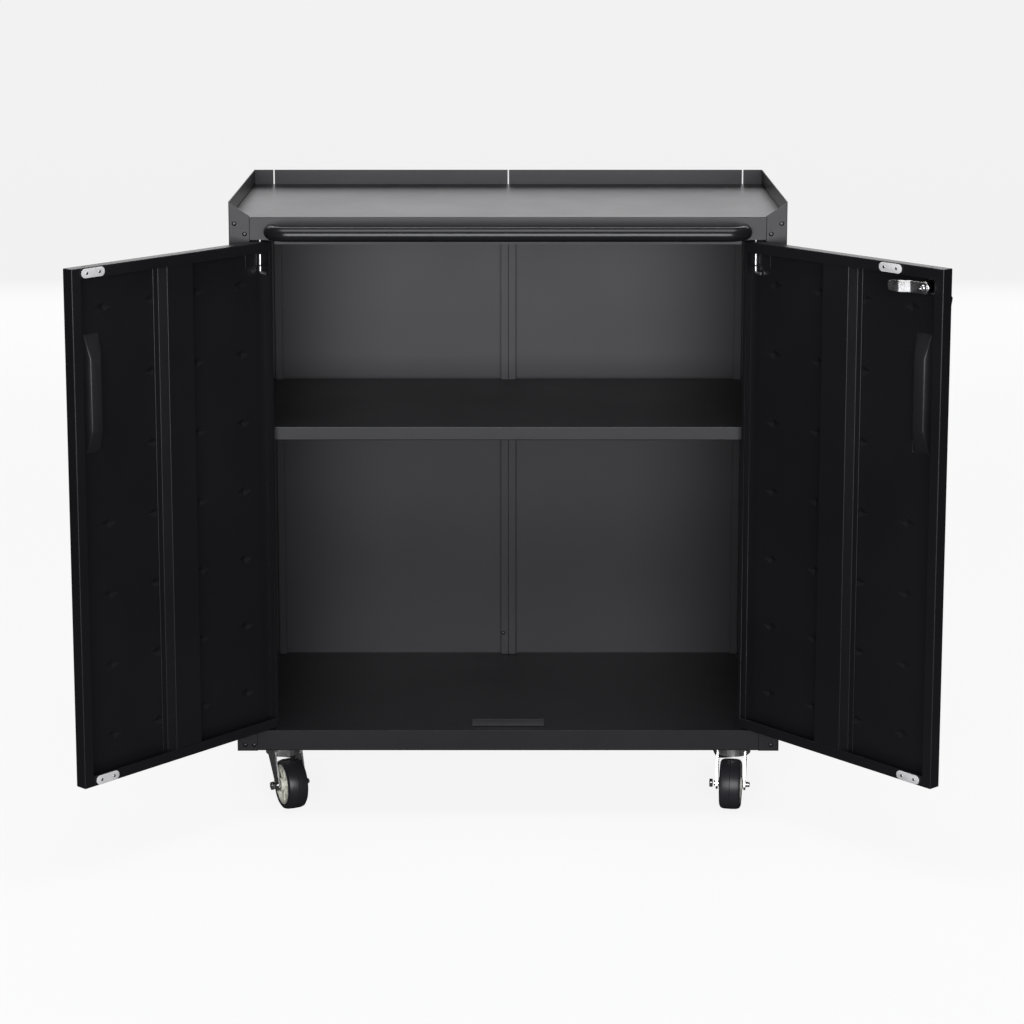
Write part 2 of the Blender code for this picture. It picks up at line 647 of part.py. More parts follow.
def press_diamonds(skin, side, hand, axis):
    """Four-sided diamonds pressed outwards through the sheet."""
    def pyramids(work, base, grow):
        wide, tall = DIAMOND_HALF_WIDTH + grow, DIAMOND_HALF_HEIGHT + grow / 2
        deep = DIAMOND_DEPTH * wide / DIAMOND_HALF_WIDTH
        for u, z in diamond_places():
            x = -side * u
            ring = [work.verts.new((x + dx * wide, base, z + dz * tall)) for dx, dz in ((1, 0), (0, 1), (-1, 0), (0, -1))]
            tip = work.verts.new((x, base - deep, z))
            work.faces.new(ring)
            for i in range(4):
                work.faces.new((ring[i], ring[(i + 1) % 4], tip))

    weld(skin, "diamonds_raised_" + hand, lambda work: pyramids(work, DOOR_OUT_Y + SHEET / 4, 0.0015), axis)
    hollow = put("diamonds_hollow_" + hand,
                 mesh_of("diamonds_hollow_" + hand, lambda work: pyramids(work, DOOR_FLOOR_Y + SHEET / 8, 0.0)),
                 None, axis, CUTTERS)
    boolean(skin, hollow, "DIFFERENCE")


def door_stiffener(side, hand, axis):
    """Hat-section rib down the inside of the skin."""
    middle = STIFFENER_PLACE * DOOR_FREE_U
    foot = DOOR_FLOOR_Y + GAP + SHEET
    crest = DOOR_IN_Y - SHEET - GAP
    half = STIFFENER_WEB / 2
    root = half + STIFFENER_DRAFT
    path = [(middle - root - STIFFENER_WING, foot), (middle - root, foot), (middle - half, crest),
            (middle + half, crest), (middle + root, foot), (middle + root + STIFFENER_WING, foot)]
    path = [(-side * u, y) for u, y in path]
    if side < 0:
        path.reverse()
    fold("door_stiffener_" + hand, path, (DOOR_BOTTOM_Z + 2.5 * SHEET, DOOR_TOP_Z - 2.5 * SHEET), "z",
         SHEET, BLACK_COAT, axis)


def pull_cup(side, hand, axis):
    """Flush finger pull: a bezel on the skin and a pocket behind it, open to the outside."""
    half_u = PULL_WIDTH / 2
    half_z = PULL_HEIGHT / 2
    outer = spread(side, (PULL_U - half_u, DOOR_OUT_Y - GAP - SHEET, PULL_Z - half_z),
                   (PULL_U + half_u, DOOR_OUT_Y + PULL_DEPTH, PULL_Z + half_z))
    cup = box("pull_cup_" + hand, *outer, PLASTIC, axis)
    bezel = spread(side, (PULL_U - half_u - PULL_BEZEL, DOOR_OUT_Y - GAP - 1.5 * SHEET, PULL_Z - half_z - PULL_BEZEL),
                   (PULL_U + half_u + PULL_BEZEL, DOOR_OUT_Y - GAP, PULL_Z + half_z + PULL_BEZEL))
    weld(cup, "pull_bezel_" + hand, lambda work: add_box(work, *bezel), axis)
    pocket = spread(side, (PULL_U - half_u + PULL_WALL, DOOR_OUT_Y - 4 * SHEET, PULL_Z - half_z + PULL_WALL),
                    (PULL_U + half_u - PULL_WALL, DOOR_OUT_Y + PULL_DEPTH - PULL_WALL, PULL_Z + half_z - PULL_WALL))
    cut_boxes(cup, "pull_pocket_" + hand, [pocket], axis)


def strike(side, hand, axis, level, from_edge, z):
    """Round-ended steel plate that the magnet holds."""
    u = DOOR_FREE_U - from_edge
    radius = STRIKE_WIDTH / 2
    run = STRIKE_LENGTH / 2 - radius
    outline = arc((-side * u + run, z), radius, -90, 90, 8) + arc((-side * u - run, z), radius, 90, 270, 8)
    y = DOOR_IN_Y + GAP
    plate("strike_" + level + "_" + hand, outline, y, y + STRIKE_THICKNESS, "y", ZINC, axis)


def hinge_pin(side, hand, axis, hook_turn):
    """Sprung upper pin with its hooked lower end, and the bracket that guides it."""
    pin_axis = empty("hinge_pin_axis_" + hand, (0, 0, 0), 0.0, axis)
    top = FASCIA_Z + PIN_RISE
    low = DOOR_TOP_Z - PIN_BELOW_TOP
    bend = 2 * PIN_RADIUS
    hook = arc((bend, low + bend), bend, 180, 270, 5) + [(PIN_HOOK, low)]
    away = (math.cos(hook_turn), math.sin(hook_turn))
    points = [(0, 0, top)] + [(away[0] * u, away[1] * u, z) for u, z in hook]
    tube("hinge_pin_" + hand, points, PIN_RADIUS, ZINC, pin_axis, 4)

    back = DOOR_FLOOR_Y + GAP
    ear_top = DOOR_TOP_Z - EAR_DROP
    half = PIN_RADIUS + 2 * EAR_THICKNESS
    low_z = ear_top - EAR_SPACING - EAR_THICKNESS
    body = spread(side, (-half, back, low_z), (BRACKET_WIDTH - half, back + SHEET, ear_top + EAR_THICKNESS))
    bracket = box("pin_bracket_" + hand, *body, BLACK_COAT, axis)

    def ears(work):
        for z in (ear_top, ear_top - EAR_SPACING):
            low_corner, high_corner = spread(side, (-half, back + SHEET / 2, z - EAR_THICKNESS / 2),
                                             (half, half, z + EAR_THICKNESS / 2))
            add_box(work, low_corner, high_corner)
    weld(bracket, "bracket_ears_" + hand, ears, axis)
    length = EAR_SPACING + 6 * EAR_THICKNESS
    centre = (0, 0, ear_top - EAR_SPACING / 2)
    cut_cylinders(bracket, "ear_holes_" + hand, [(centre, PIN_RADIUS + PIN_PLAY, length)], (0, 0, 1), axis)


def door(side, root):
    hand = "left" if side < 0 else "right"
    axis = empty("door_axis_" + hand, (side * PIN_X, PIN_DEPTH, 0), side * DOOR_OPEN, root)
    door_skin(side, hand, axis)
    door_stiffener(side, hand, axis)
    pull_cup(side, hand, axis)
    top_edge = STRIKE_FROM_EDGE if side < 0 else STRIKE_FROM_EDGE + STRIKE_CLEAR_OF_LOCK
    strike(side, hand, axis, "top", top_edge, DOOR_TOP_Z - DOOR_LIP / 2)
    strike(side, hand, axis, "bottom", LOWER_STRIKE_FROM_EDGE, DOOR_BOTTOM_Z + DOOR_LIP / 2)
    hinge_pin(side, hand, axis, math.radians(90 if side < 0 else 180))
    return axis


# ---------------------------------------------------------------- cam lock and keys (right door)
def lock(door_axis):
    x = -LOCK_U
    flip = (math.radians(90), 0, 0)
    face = DOOR_OUT_Y - GAP
    bore = PLUG_RADIUS + PIN_PLAY
    rise = LOCK_BEZEL_RISE
    # heights run outwards along -Y from the skin's face
    profile = [(bore, rise), (LOCK_BEZEL - 0.001, rise), (LOCK_BEZEL, rise - 0.001), (LOCK_BEZEL, 0.0),
               (LOCK_BARREL, 0.0), (LOCK_BARREL, -LOCK_BARREL_LENGTH), (bore, -LOCK_BARREL_LENGTH)]
    turned("lock_housing", profile, flip, (x, face, LOCK_Z), CHROME, door_axis)

    nut_y = DOOR_FLOOR_Y + GAP
    hexagon = [(x + NUT_RADIUS * math.cos(math.radians(60 * k)), LOCK_Z + NUT_RADIUS * math.sin(math.radians(60 * k)))
               for k in range(6)]
    nut = plate("lock_nut", hexagon, nut_y, nut_y + NUT_THICKNESS, "y", ZINC, door_axis)
    cut_cylinders(nut, "lock_nut_bore", [((x, nut_y, LOCK_Z), LOCK_BARREL + PIN_PLAY, 6 * NUT_THICKNESS)],
                  (0, 1, 0), door_axis)

    plug_axis = empty("lock_axis", (x, 0, LOCK_Z), 0.0, door_axis)
    cam_y = face + LOCK_BARREL_LENGTH + GAP
    plug_low = face - rise
    length = cam_y - GAP - plug_low
    plug = cylinder("lock_plug", (0, plug_low + length / 2, 0), PLUG_RADIUS, length, (0, 1, 0), CHROME, plug_axis)
    slot = KEY_THICKNESS / 2 + GAP
    cut_boxes(plug, "keyway", [((-slot, plug_low - SHEET, -KEY_BLADE / 2 - GAP),
                                (slot, plug_low + KEY_BLADE_IN + GAP, KEY_BLADE / 2 + GAP))], plug_axis)

    half = CAM_WIDTH / 2
    tongue_y = STOP_DEPTH + SHEET + GAP + MAGNET_SIZE[1] + CAM_PAST_MAGNET - PIN_DEPTH
    path = [(-half, cam_y), (CAM_CRANK_AT, cam_y), (CAM_CRANK_AT + CAM_CRANK_RUN, tongue_y),
            (CAM_LENGTH, tongue_y)]
    cam = fold("lock_cam", path, (-half, half), "z", CAM_THICKNESS, ZINC, plug_axis)
    round_end = cam.modifiers.new("rounded", "BEVEL")
    round_end.width = 0.0003
    round_end.segments = 1
    round_end.limit_method = "ANGLE"
    round_end.angle_limit = math.radians(60)

    key_and_ring(plug_axis, plug_low)


def key_and_ring(plug_axis, plug_low):
    """Key in the lock; a split ring through its bow carries the spare key."""
    key_axis = empty("key_axis", (0, 0, 0), 0.0, plug_axis)
    half = KEY_THICKNESS / 2
    bow_y = plug_low - KEY_NECK
    bow_end = bow_y - KEY_BOW_LENGTH
    cut = 0.005
    tall = KEY_BOW_HEIGHT / 2
    outline = [(bow_end + cut, -tall), (bow_y - cut, -tall), (bow_y, -tall + cut), (bow_y, -KEY_BLADE / 2),
               (plug_low + KEY_BLADE_IN, -KEY_BLADE / 2), (plug_low + KEY_BLADE_IN, KEY_BLADE / 2),
               (bow_y, KEY_BLADE / 2), (bow_y, tall - cut), (bow_y - cut, tall), (bow_end + cut, tall),
               (bow_end, tall - cut), (bow_end, -tall + cut)]
    key = plate("key", outline, -half, half, "x", PLASTIC, key_axis)
    hole_y = bow_end + 2.2 * RING_HOLE
    hole_z = -tall + 2.2 * RING_HOLE
    cut_cylinders(key, "key_hole", [((0, hole_y, hole_z), RING_HOLE, 6 * KEY_THICKNESS)], (1, 0, 0), key_axis, 16)

    ring_axis = empty("key_ring_axis", (0, hole_y, hole_z), 0.0, key_axis)
    steps = 24
    points = [(RING_RADIUS * math.sin(math.tau * k / steps), 0.0,
               -RING_RADIUS + RING_RADIUS * math.cos(math.tau * k / steps)) for k in range(steps)]
    ring = tube("key_ring", points, RING_WIRE, CHROME, ring_axis, 2)
    ring.data.splines[0].use_cyclic_u = True

    cut = 0.004
    left = SPARE_HOLE_FROM_SIDE
    right = left - KEY_BOW_HEIGHT
    top = SPARE_HOLE_FROM_END
    low = top - KEY_BOW_LENGTH
    middle = (left + right) / 2
    tip = low - KEY_NECK - KEY_BLADE_IN
    blade = KEY_BLADE / 2
    flat = [(right + cut, top), (left - cut, top), (left, top - cut), (left, low + cut), (left - cut, low),
            (middle + blade, low), (middle + blade, tip), (middle - blade, tip), (middle - blade, low),
            (right + cut, low), (right, low + cut), (right, top - cut)]
    cos, sin = math.cos(SPARE_TILT), math.sin(SPARE_TILT)
    outline = [(a * cos - b * sin, a * sin + b * cos - 2 * RING_RADIUS) for a, b in flat]
    spare = plate("spare_key", outline, -half, half, "x", PLASTIC, ring_axis)
    cut_cylinders(spare, "spare_key_hole", [((0, 0, -2 * RING_RADIUS), RING_HOLE, 6 * KEY_THICKNESS)],
                  (1, 0, 0), ring_axis, 16)


# ---------------------------------------------------------------- casters
def caster(where, side, y, root):
    x = side * (HALF - CASTER_FROM_SIDE)
    top = BASE_Z - GAP
    wide, long = CASTER_PLATE
    under = top - PLATE_THICKNESS
    crown_low = 2 * WHEEL_RADIUS + WHEEL_CLEARANCE
    crown_top = crown_low + CROWN_HEIGHT

    mount = box("caster_plate_" + where, (x - wide / 2, y - long / 2, under), (x + wide / 2, y + long / 2, top),
                BLACK_COAT, root)

    def raceway(work):
        low = crown_top + RUNNING_GAP
        length = under - low + SHEET
        add_cylinder(work, (x, y, low + length / 2), RACEWAY_RADIUS, length, (0, 0, 1), 28)
    weld(mount, "raceway_" + where, raceway, root)

    swivel = empty("swivel_axis_" + where, (x, y, 0), math.radians(CASTER_TURN[where]), root)
    fork = cylinder("caster_fork_" + where, (0, 0, (crown_low + crown_top) / 2), CROWN_RADIUS, CROWN_HEIGHT,
                    (0, 0, 1), BLACK_COAT, swivel, 28)
    toe = arc((-CASTER_LEAD, WHEEL_RADIUS), 2.2 * AXLE_RADIUS, 190, 350, 6)
    span = CROWN_RADIUS * 0.72
    outline = toe + [(span, crown_low + 0.6 * CROWN_HEIGHT), (-span, crown_low + 0.6 * CROWN_HEIGHT)]

    def legs(work):
        for hand in (-1, 1):
            inner = hand * FORK_INSIDE / 2
            outer = hand * (FORK_INSIDE / 2 + FORK_SHEET)
            first = [work.verts.new((inner, a, b)) for a, b in outline]
            second = [work.verts.new((outer, a, b)) for a, b in outline]
            work.faces.new(first)
            work.faces.new(list(reversed(second)))
            for i in range(len(outline)):
                j = (i + 1) % len(outline)
                work.faces.new((first[i], second[i], second[j], first[j]))
    weld(fork, "fork_legs_" + where, legs, swivel)
    cut_cylinders(fork, "axle_hole_" + where,
                  [((0, -CASTER_LEAD, WHEEL_RADIUS), AXLE_RADIUS + AXLE_PLAY, 2 * FORK_INSIDE)], (1, 0, 0), swivel)

    across = (0, math.radians(90), 0)
    reach = FORK_INSIDE / 2 + FORK_SHEET + GAP
    axle_place = (0, -CASTER_LEAD, WHEEL_RADIUS)
    dome = reach + NUT_LENGTH
    profile = [(0.0, dome), (0.55 * NUT_DOME, dome - 0.0008), (NUT_DOME, dome - 0.0035), (NUT_DOME, reach),
               (AXLE_RADIUS, reach), (AXLE_RADIUS, -reach), (NUT_DOME, -reach), (NUT_DOME, -dome + 0.0035),
               (0.55 * NUT_DOME, -dome + 0.0008), (0.0, -dome)]
    axle = turned("caster_axle_" + where, profile, across, axle_place, CHROME, swivel, 20)
    open_profile(axle)

    spin = empty("wheel_axis_" + where, axle_place, 0.0, swivel)
    half = WHEEL_WIDTH / 2
    shoulder = 0.003
    inner = WHEEL_RADIUS - TYRE_DEPTH
    profile = [(inner, half), (WHEEL_RADIUS - shoulder, half), (WHEEL_RADIUS - 0.0008, half - shoulder),
               (WHEEL_RADIUS, 0.0), (WHEEL_RADIUS - 0.0008, -half + shoulder), (WHEEL_RADIUS - shoulder, -half),
               (inner, -half)]
    turned("caster_tyre_" + where, profile, across, (0, 0, 0), TYRE, spin, 32)
    rim = inner - GAP
    boss = 2.4 * AXLE_RADIUS
    hub_half = FORK_INSIDE / 2 - RUNNING_GAP
    web = half - 0.004
    profile = [(AXLE_RADIUS + AXLE_PLAY, hub_half), (boss, hub_half), (boss + 0.001, web),
               (rim - 0.002, web), (rim - 0.001, half), (rim, half), (rim, -half), (rim - 0.001, -half),
               (rim - 0.002, -web), (boss + 0.001, -web), (boss, -hub_half), (AXLE_RADIUS + AXLE_PLAY, -hub_half)]
    turned("caster_hub_" + where, profile, across, (0, 0, 0), HUB, spin, 28)


def open_profile(node):
    """A solid turned piece has no bore: its profile runs from pole to pole and isn't closed."""
    mesh = node.data
    points = [v.co.copy() for v in mesh.vertices]
    count = len(points)
    mesh.clear_geometry()
    mesh.from_pydata(points, [(i, i + 1) for i in range(count - 1)], [])


def build():
    root = empty("chest_frame", (0, FRONT_Y, 0))
    for side in (-1, 1):
        side_panel(side, root)
        back_panel(side, root)
        front_post(side, root)
    top_tray(root)
    front_fascia(root)
    base_pan(root)
    rear_seam_strip(root)
    shelf(root)
    shelf_clips(root)
    door_stops(root)
    push_handle(root)
    door(-1, root)
    right = door(1, root)
    lock(right)
    for where, side, y in (("front_left", -1, CASTER_FROM_END), ("front_right", 1, CASTER_FROM_END),
                           ("rear_left", -1, DEPTH - CASTER_FROM_END), ("rear_right", 1, DEPTH - CASTER_FROM_END)):
        caster(where, side, y, root)


build()
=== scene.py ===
"""Finish for a rolling tool chest: black powder-coated sheet steel, zinc hardware and casters."""

import json
import math

import bmesh
import bpy
from mathutils import Matrix, Vector


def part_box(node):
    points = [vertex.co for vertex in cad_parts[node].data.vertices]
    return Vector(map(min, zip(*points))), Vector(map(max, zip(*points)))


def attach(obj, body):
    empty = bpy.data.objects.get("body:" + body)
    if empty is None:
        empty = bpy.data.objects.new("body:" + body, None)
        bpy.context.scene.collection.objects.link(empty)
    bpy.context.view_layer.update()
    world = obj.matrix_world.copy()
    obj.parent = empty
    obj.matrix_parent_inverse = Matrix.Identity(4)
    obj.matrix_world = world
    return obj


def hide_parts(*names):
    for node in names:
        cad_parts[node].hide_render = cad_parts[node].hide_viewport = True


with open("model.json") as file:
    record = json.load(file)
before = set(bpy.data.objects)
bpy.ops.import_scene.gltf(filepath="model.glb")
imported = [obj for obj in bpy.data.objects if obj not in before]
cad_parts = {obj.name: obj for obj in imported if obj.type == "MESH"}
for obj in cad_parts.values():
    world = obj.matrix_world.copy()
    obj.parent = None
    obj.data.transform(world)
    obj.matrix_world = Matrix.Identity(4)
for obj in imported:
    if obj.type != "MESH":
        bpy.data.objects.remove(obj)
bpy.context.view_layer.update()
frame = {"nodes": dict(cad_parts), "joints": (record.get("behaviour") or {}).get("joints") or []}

JOINTS = {joint["name"]: joint for joint in frame["joints"]}


def extent(node):
    low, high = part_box(node)
    return low, high, (low + high) / 2


# ---------------------------------------------------------------- shader groups
def wire(tree, source, target):
    tree.links.new(source, target)


def effect_group(name, inputs, outputs):
    """A shader group with named number sockets: inputs hold (name, default)."""
    tree = bpy.data.node_groups.new(name, "ShaderNodeTree")
    for label, default in inputs:
        socket = tree.interface.new_socket(name=label, in_out="INPUT", socket_type="NodeSocketFloat")
        socket.default_value = default
    for label in outputs:
        tree.interface.new_socket(name=label, in_out="OUTPUT", socket_type="NodeSocketFloat")
    return tree, tree.nodes.new("NodeGroupInput"), tree.nodes.new("NodeGroupOutput")


def math_node(tree, operation, first, second=None, third=None):
    node = tree.nodes.new("ShaderNodeMath")
    node.operation = operation
    for slot, value in zip(node.inputs, (first, second, third)):
        if value is None:
            continue
        if isinstance(value, (int, float)):
            slot.default_value = value
        else:
            wire(tree, value, slot)
    return node.outputs[0]


def noise(tree, place, scale, detail, roughness=0.5):
    node = tree.nodes.new("ShaderNodeTexNoise")
    node.inputs["Detail"].default_value = detail
    node.inputs["Roughness"].default_value = roughness
    wire(tree, place, node.inputs["Vector"])
    if isinstance(scale, (int, float)):
        node.inputs["Scale"].default_value = scale
    else:
        wire(tree, scale, node.inputs["Scale"])
    return node.outputs["Fac"]


def make_orange_peel():
    """Sprayed and baked powder: tiny pebbles over a slow ripple, with a little colour drift."""
    tree, given, result = effect_group("powder_grain", [("Pebble Scale", 900.0), ("Ripple Scale", 160.0)],
                                       ["Height", "Drift"])
    place = tree.nodes.new("ShaderNodeTexCoord").outputs["Object"]
    pebble = noise(tree, place, given.outputs["Pebble Scale"], 1.0)
    ripple = noise(tree, place, given.outputs["Ripple Scale"], 2.0)
    height = math_node(tree, "MULTIPLY_ADD", pebble, 0.55, math_node(tree, "MULTIPLY", ripple, 0.45))
    wire(tree, height, result.inputs["Height"])
    wire(tree, noise(tree, place, 5.0, 3.0), result.inputs["Drift"])
    return tree


def make_wear_and_highlight_edge():
    """Lighter folds and corners, broken up along the piece's edge attribute: partly wear where they have been
    rubbed, partly a painted edge highlight.
    """
    tree, given, result = effect_group("wear_and_highlight_edge", [("Patch Scale", 60.0), ("Amount", 0.6)], ["Mask"])
    place = tree.nodes.new("ShaderNodeTexCoord").outputs["Object"]
    edge = tree.nodes.new("ShaderNodeAttribute")
    edge.attribute_name = "edge"
    patch = noise(tree, place, given.outputs["Patch Scale"], 4.0, 0.6)
    broken = tree.nodes.new("ShaderNodeMapRange")
    broken.inputs["From Min"].default_value = 0.30
    broken.inputs["From Max"].default_value = 0.62
    wire(tree, patch, broken.inputs["Value"])
    mask = math_node(tree, "MULTIPLY", edge.outputs["Fac"], broken.outputs["Result"])
    wire(tree, math_node(tree, "MULTIPLY", mask, given.outputs["Amount"]), result.inputs["Mask"])
    return tree


def make_plating():
    """Zinc or chrome plate: fine drawn lines, soft cloudiness and small pits."""
    tree, given, result = effect_group("plating", [("Line Scale", 900.0), ("Cloud Scale", 70.0)],
                                       ["Height", "Cloud", "Pits"])
    place = tree.nodes.new("ShaderNodeTexCoord").outputs["Object"]
    stretch = tree.nodes.new("ShaderNodeMapping")
    stretch.inputs["Scale"].default_value = (1.0, 1.0, 0.06)
    wire(tree, place, stretch.inputs["Vector"])
    lines = noise(tree, stretch.outputs["Vector"], given.outputs["Line Scale"], 2.0)
    wire(tree, lines, result.inputs["Height"])
    wire(tree, noise(tree, place, given.outputs["Cloud Scale"], 3.0), result.inputs["Cloud"])
    pits = math_node(tree, "SUBTRACT", noise(tree, place, 1400.0, 1.0), 0.66)
    wire(tree, math_node(tree, "MAXIMUM", math_node(tree, "MULTIPLY", pits, 8.0), 0.0), result.inputs["Pits"])
    return tree


def make_handled():
    """Faint smears and settled dust that every outside surface picks up."""
    tree, given, result = effect_group("handled", [("Smear Scale", 12.0)], ["Smear", "Dust"])
    place = tree.nodes.new("ShaderNodeTexCoord").outputs["Object"]
    normal = tree.nodes.new("ShaderNodeNewGeometry").outputs["Normal"]
    split = tree.nodes.new("ShaderNodeSeparateXYZ")
    wire(tree, normal, split.inputs["Vector"])
    wire(tree, noise(tree, place, given.outputs["Smear Scale"], 5.0, 0.62), result.inputs["Smear"])
    up = math_node(tree, "MAXIMUM", split.outputs["Z"], 0.0)
    specks = noise(tree, place, 260.0, 4.0, 0.7)
    wire(tree, math_node(tree, "MULTIPLY", up, specks), result.inputs["Dust"])
    return tree


POWDER = make_orange_peel()
WEAR_AND_HIGHLIGHT_EDGE = make_wear_and_highlight_edge()
PLATING = make_plating()
HANDLED = make_handled()


def place_group(tree, group, **values):
    node = tree.nodes.new("ShaderNodeGroup")
    node.node_tree = group
    for label, value in values.items():
        node.inputs[label.replace("_", " ")].default_value = value
    return node.outputs


def new_material(name):
    mat = bpy.data.materials.new(name)
    mat.use_nodes = True
    return mat, mat.node_tree, mat.node_tree.nodes["Principled BSDF"]


def blend_colour(tree, factor, first, second):
    node = tree.nodes.new("ShaderNodeMix")
    node.data_type = "RGBA"
    for slot, value in ((node.inputs[6], first), (node.inputs[7], second)):
        if isinstance(value, tuple):
            slot.default_value = (*value, 1.0)
        else:
            wire(tree, value, slot)
    wire(tree, factor, node.inputs[0])
    return node.outputs[2]


def span_value(tree, value, low, high, start=0.3, end=0.7):
    node = tree.nodes.new("ShaderNodeMapRange")
    node.inputs["From Min"].default_value = start
    node.inputs["From Max"].default_value = end
    node.inputs["To Min"].default_value = low
    node.inputs["To Max"].default_value = high
    wire(tree, value, node.inputs["Value"])
    return node.outputs["Result"]


def bump(tree, height, strength, distance, shader):
    node = tree.nodes.new("ShaderNodeBump")
    node.inputs["Strength"].default_value = strength
    node.inputs["Distance"].default_value = distance
    wire(tree, height, node.inputs["Height"])
    wire(tree, node.outputs["Normal"], shader.inputs["Normal"])


def powder_coat(name, deep, lit, edge_wear_and_highlight, rough, pebbles=900.0):
    """Satin black powder coat over steel."""
    mat, tree, shader = new_material(name)
    grain = place_group(tree, POWDER, Pebble_Scale=pebbles, Ripple_Scale=150.0)
    edge = place_group(tree, WEAR_AND_HIGHLIGHT_EDGE, Patch_Scale=45.0, Amount=0.8)
    touched = place_group(tree, HANDLED, Smear_Scale=9.0)
    base = blend_colour(tree, span_value(tree, grain["Drift"], 0.0, 1.0), deep, lit)
    dusty = blend_colour(tree, math_node(tree, "MULTIPLY", touched["Dust"], 0.012), base, (0.35, 0.34, 0.33))
    # rounded edges blend to the lighter edge colour: partly rubbed wear, partly a painted edge highlight
    edge_worn_and_highlit = blend_colour(tree, edge["Mask"], dusty, edge_wear_and_highlight)
    wire(tree, edge_worn_and_highlit, shader.inputs["Base Color"])
    smear = span_value(tree, touched["Smear"], rough - 0.015, rough + 0.020)
    pebbled = math_node(tree, "MULTIPLY_ADD", grain["Height"], 0.04, math_node(tree, "SUBTRACT", smear, 0.02))
    wire(tree, math_node(tree, "MULTIPLY_ADD", edge["Mask"], -0.10, pebbled), shader.inputs["Roughness"])
    shader.inputs["Specular IOR Level"].default_value = 0.5
    bump(tree, grain["Height"], 0.35, 0.00025, shader)
    return mat


def plated(name, dull, bright, rough, lines=900.0, dark=(0.30, 0.30, 0.29), metal=1.0):
    """Plated steel: metallic, lightly drawn, clouded; a dull plate is less metallic."""
    mat, tree, shader = new_material(name)
    plate = place_group(tree, PLATING, Line_Scale=lines, Cloud_Scale=70.0)
    edge = place_group(tree, WEAR_AND_HIGHLIGHT_EDGE, Patch_Scale=120.0, Amount=0.5)
    base = blend_colour(tree, span_value(tree, plate["Cloud"], 0.0, 1.0), dull, bright)
    pitted = blend_colour(tree, math_node(tree, "MULTIPLY", plate["Pits"], 0.5), base, dark)
    # rounded edges blend to the bright plate colour: partly rubbed wear, partly a painted edge highlight
    wire(tree, blend_colour(tree, edge["Mask"], pitted, bright), shader.inputs["Base Color"])
    shader.inputs["Metallic"].default_value = metal
    wire(tree, span_value(tree, plate["Cloud"], rough - 0.05, rough + 0.08), shader.inputs["Roughness"])
    bump(tree, plate["Height"], 0.25, 0.0001, shader)
    return mat


def moulded(name, deep, lit, rough, grain_scale, grain_depth, dust=0.0):
    """Moulded plastic or rubber with a fine tool texture."""
    mat, tree, shader = new_material(name)
    grain = place_group(tree, POWDER, Pebble_Scale=grain_scale, Ripple_Scale=220.0)
    touched = place_group(tree, HANDLED, Smear_Scale=30.0)
    edge = place_group(tree, WEAR_AND_HIGHLIGHT_EDGE, Patch_Scale=80.0, Amount=0.35)
    base = blend_colour(tree, span_value(tree, grain["Drift"], 0.0, 1.0), deep, lit)
    marked = blend_colour(tree, math_node(tree, "MULTIPLY", touched["Smear"], dust), base, (0.30, 0.28, 0.25))
    # rounded edges blend to a paler colour: partly rubbed wear, partly a painted edge highlight
    pale = tuple(min(1.0, c * 1.8 + 0.01) for c in lit)
    wire(tree, blend_colour(tree, edge["Mask"], marked, pale), shader.inputs["Base Color"])
    wire(tree, span_value(tree, touched["Smear"], rough - 0.06, rough + 0.08), shader.inputs["Roughness"])
    bump(tree, grain["Height"], 0.4, grain_depth, shader)
    return mat


# the third colour is the lighter edge colour: partly rubbed wear, partly a painted edge highlight
COAT = powder_coat("black_powder_coat", (0.0060, 0.0060, 0.0072), (0.0090, 0.0090, 0.0106),
                   (0.050, 0.050, 0.056), 0.39)
COAT_TUBE = powder_coat("black_tube_coat", (0.010, 0.010, 0.0115), (0.014, 0.014, 0.016),
                        (0.05, 0.05, 0.055), 0.24, 1100.0)
ZINC = plated("zinc_plate", (0.60, 0.60, 0.58), (0.80, 0.80, 0.79), 0.26)
ZINC_PIN = plated("zinc_rod", (0.68, 0.68, 0.66), (0.86, 0.86, 0.85), 0.30, 500.0)
ZINC_DULL = plated("dull_zinc_plate", (0.82, 0.82, 0.81), (0.93, 0.93, 0.92), 0.55, metal=0.15)
CHROME = plated("bright_chrome", (0.70, 0.70, 0.71), (0.86, 0.86, 0.87), 0.12, 1300.0)
SCREW_BLACK = plated("blackened_steel", (0.045, 0.045, 0.048), (0.085, 0.085, 0.090), 0.34,
                     dark=(0.02, 0.02, 0.02))
TREAD = moulded("black_tread", (0.014, 0.014, 0.017), (0.022, 0.022, 0.027), 0.34, 700.0, 0.0002, 0.03)
CREAM = moulded("cream_hub", (0.80, 0.79, 0.68), (0.88, 0.87, 0.78), 0.36, 600.0, 0.0001, 0.05)
PLASTIC = moulded("black_plastic", (0.012, 0.012, 0.013), (0.020, 0.020, 0.021), 0.34, 1000.0, 0.0002)
FERRITE = moulded("dark_ferrite", (0.030, 0.026, 0.023), (0.055, 0.050, 0.045), 0.55, 800.0, 0.0002, 0.05)


# ---------------------------------------------------------------- mesh helpers
def piece(name, mesh, mat, body, slot, *nodes):
    """A finished piece: in place, riding its body, standing for the CAD nodes it replaces."""
    mesh.materials.clear()
    mesh.materials.append(mat)
    obj = bpy.data.objects.new(name, mesh)
    bpy.context.scene.collection.objects.link(obj)
    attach(obj, body)
    if nodes:
        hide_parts(*nodes)
    return obj


def freeze(obj):
    """The evaluated mesh of an object as plain data; the object itself goes."""
    graph = bpy.context.evaluated_depsgraph_get()
    mesh = bpy.data.meshes.new_from_object(obj.evaluated_get(graph))
    bpy.data.objects.remove(obj, do_unlink=True)
    return mesh


def smooth(mesh, angle=35):
    mesh.shade_smooth()
    mesh.set_sharp_from_angle(angle=math.radians(angle))
    return mesh


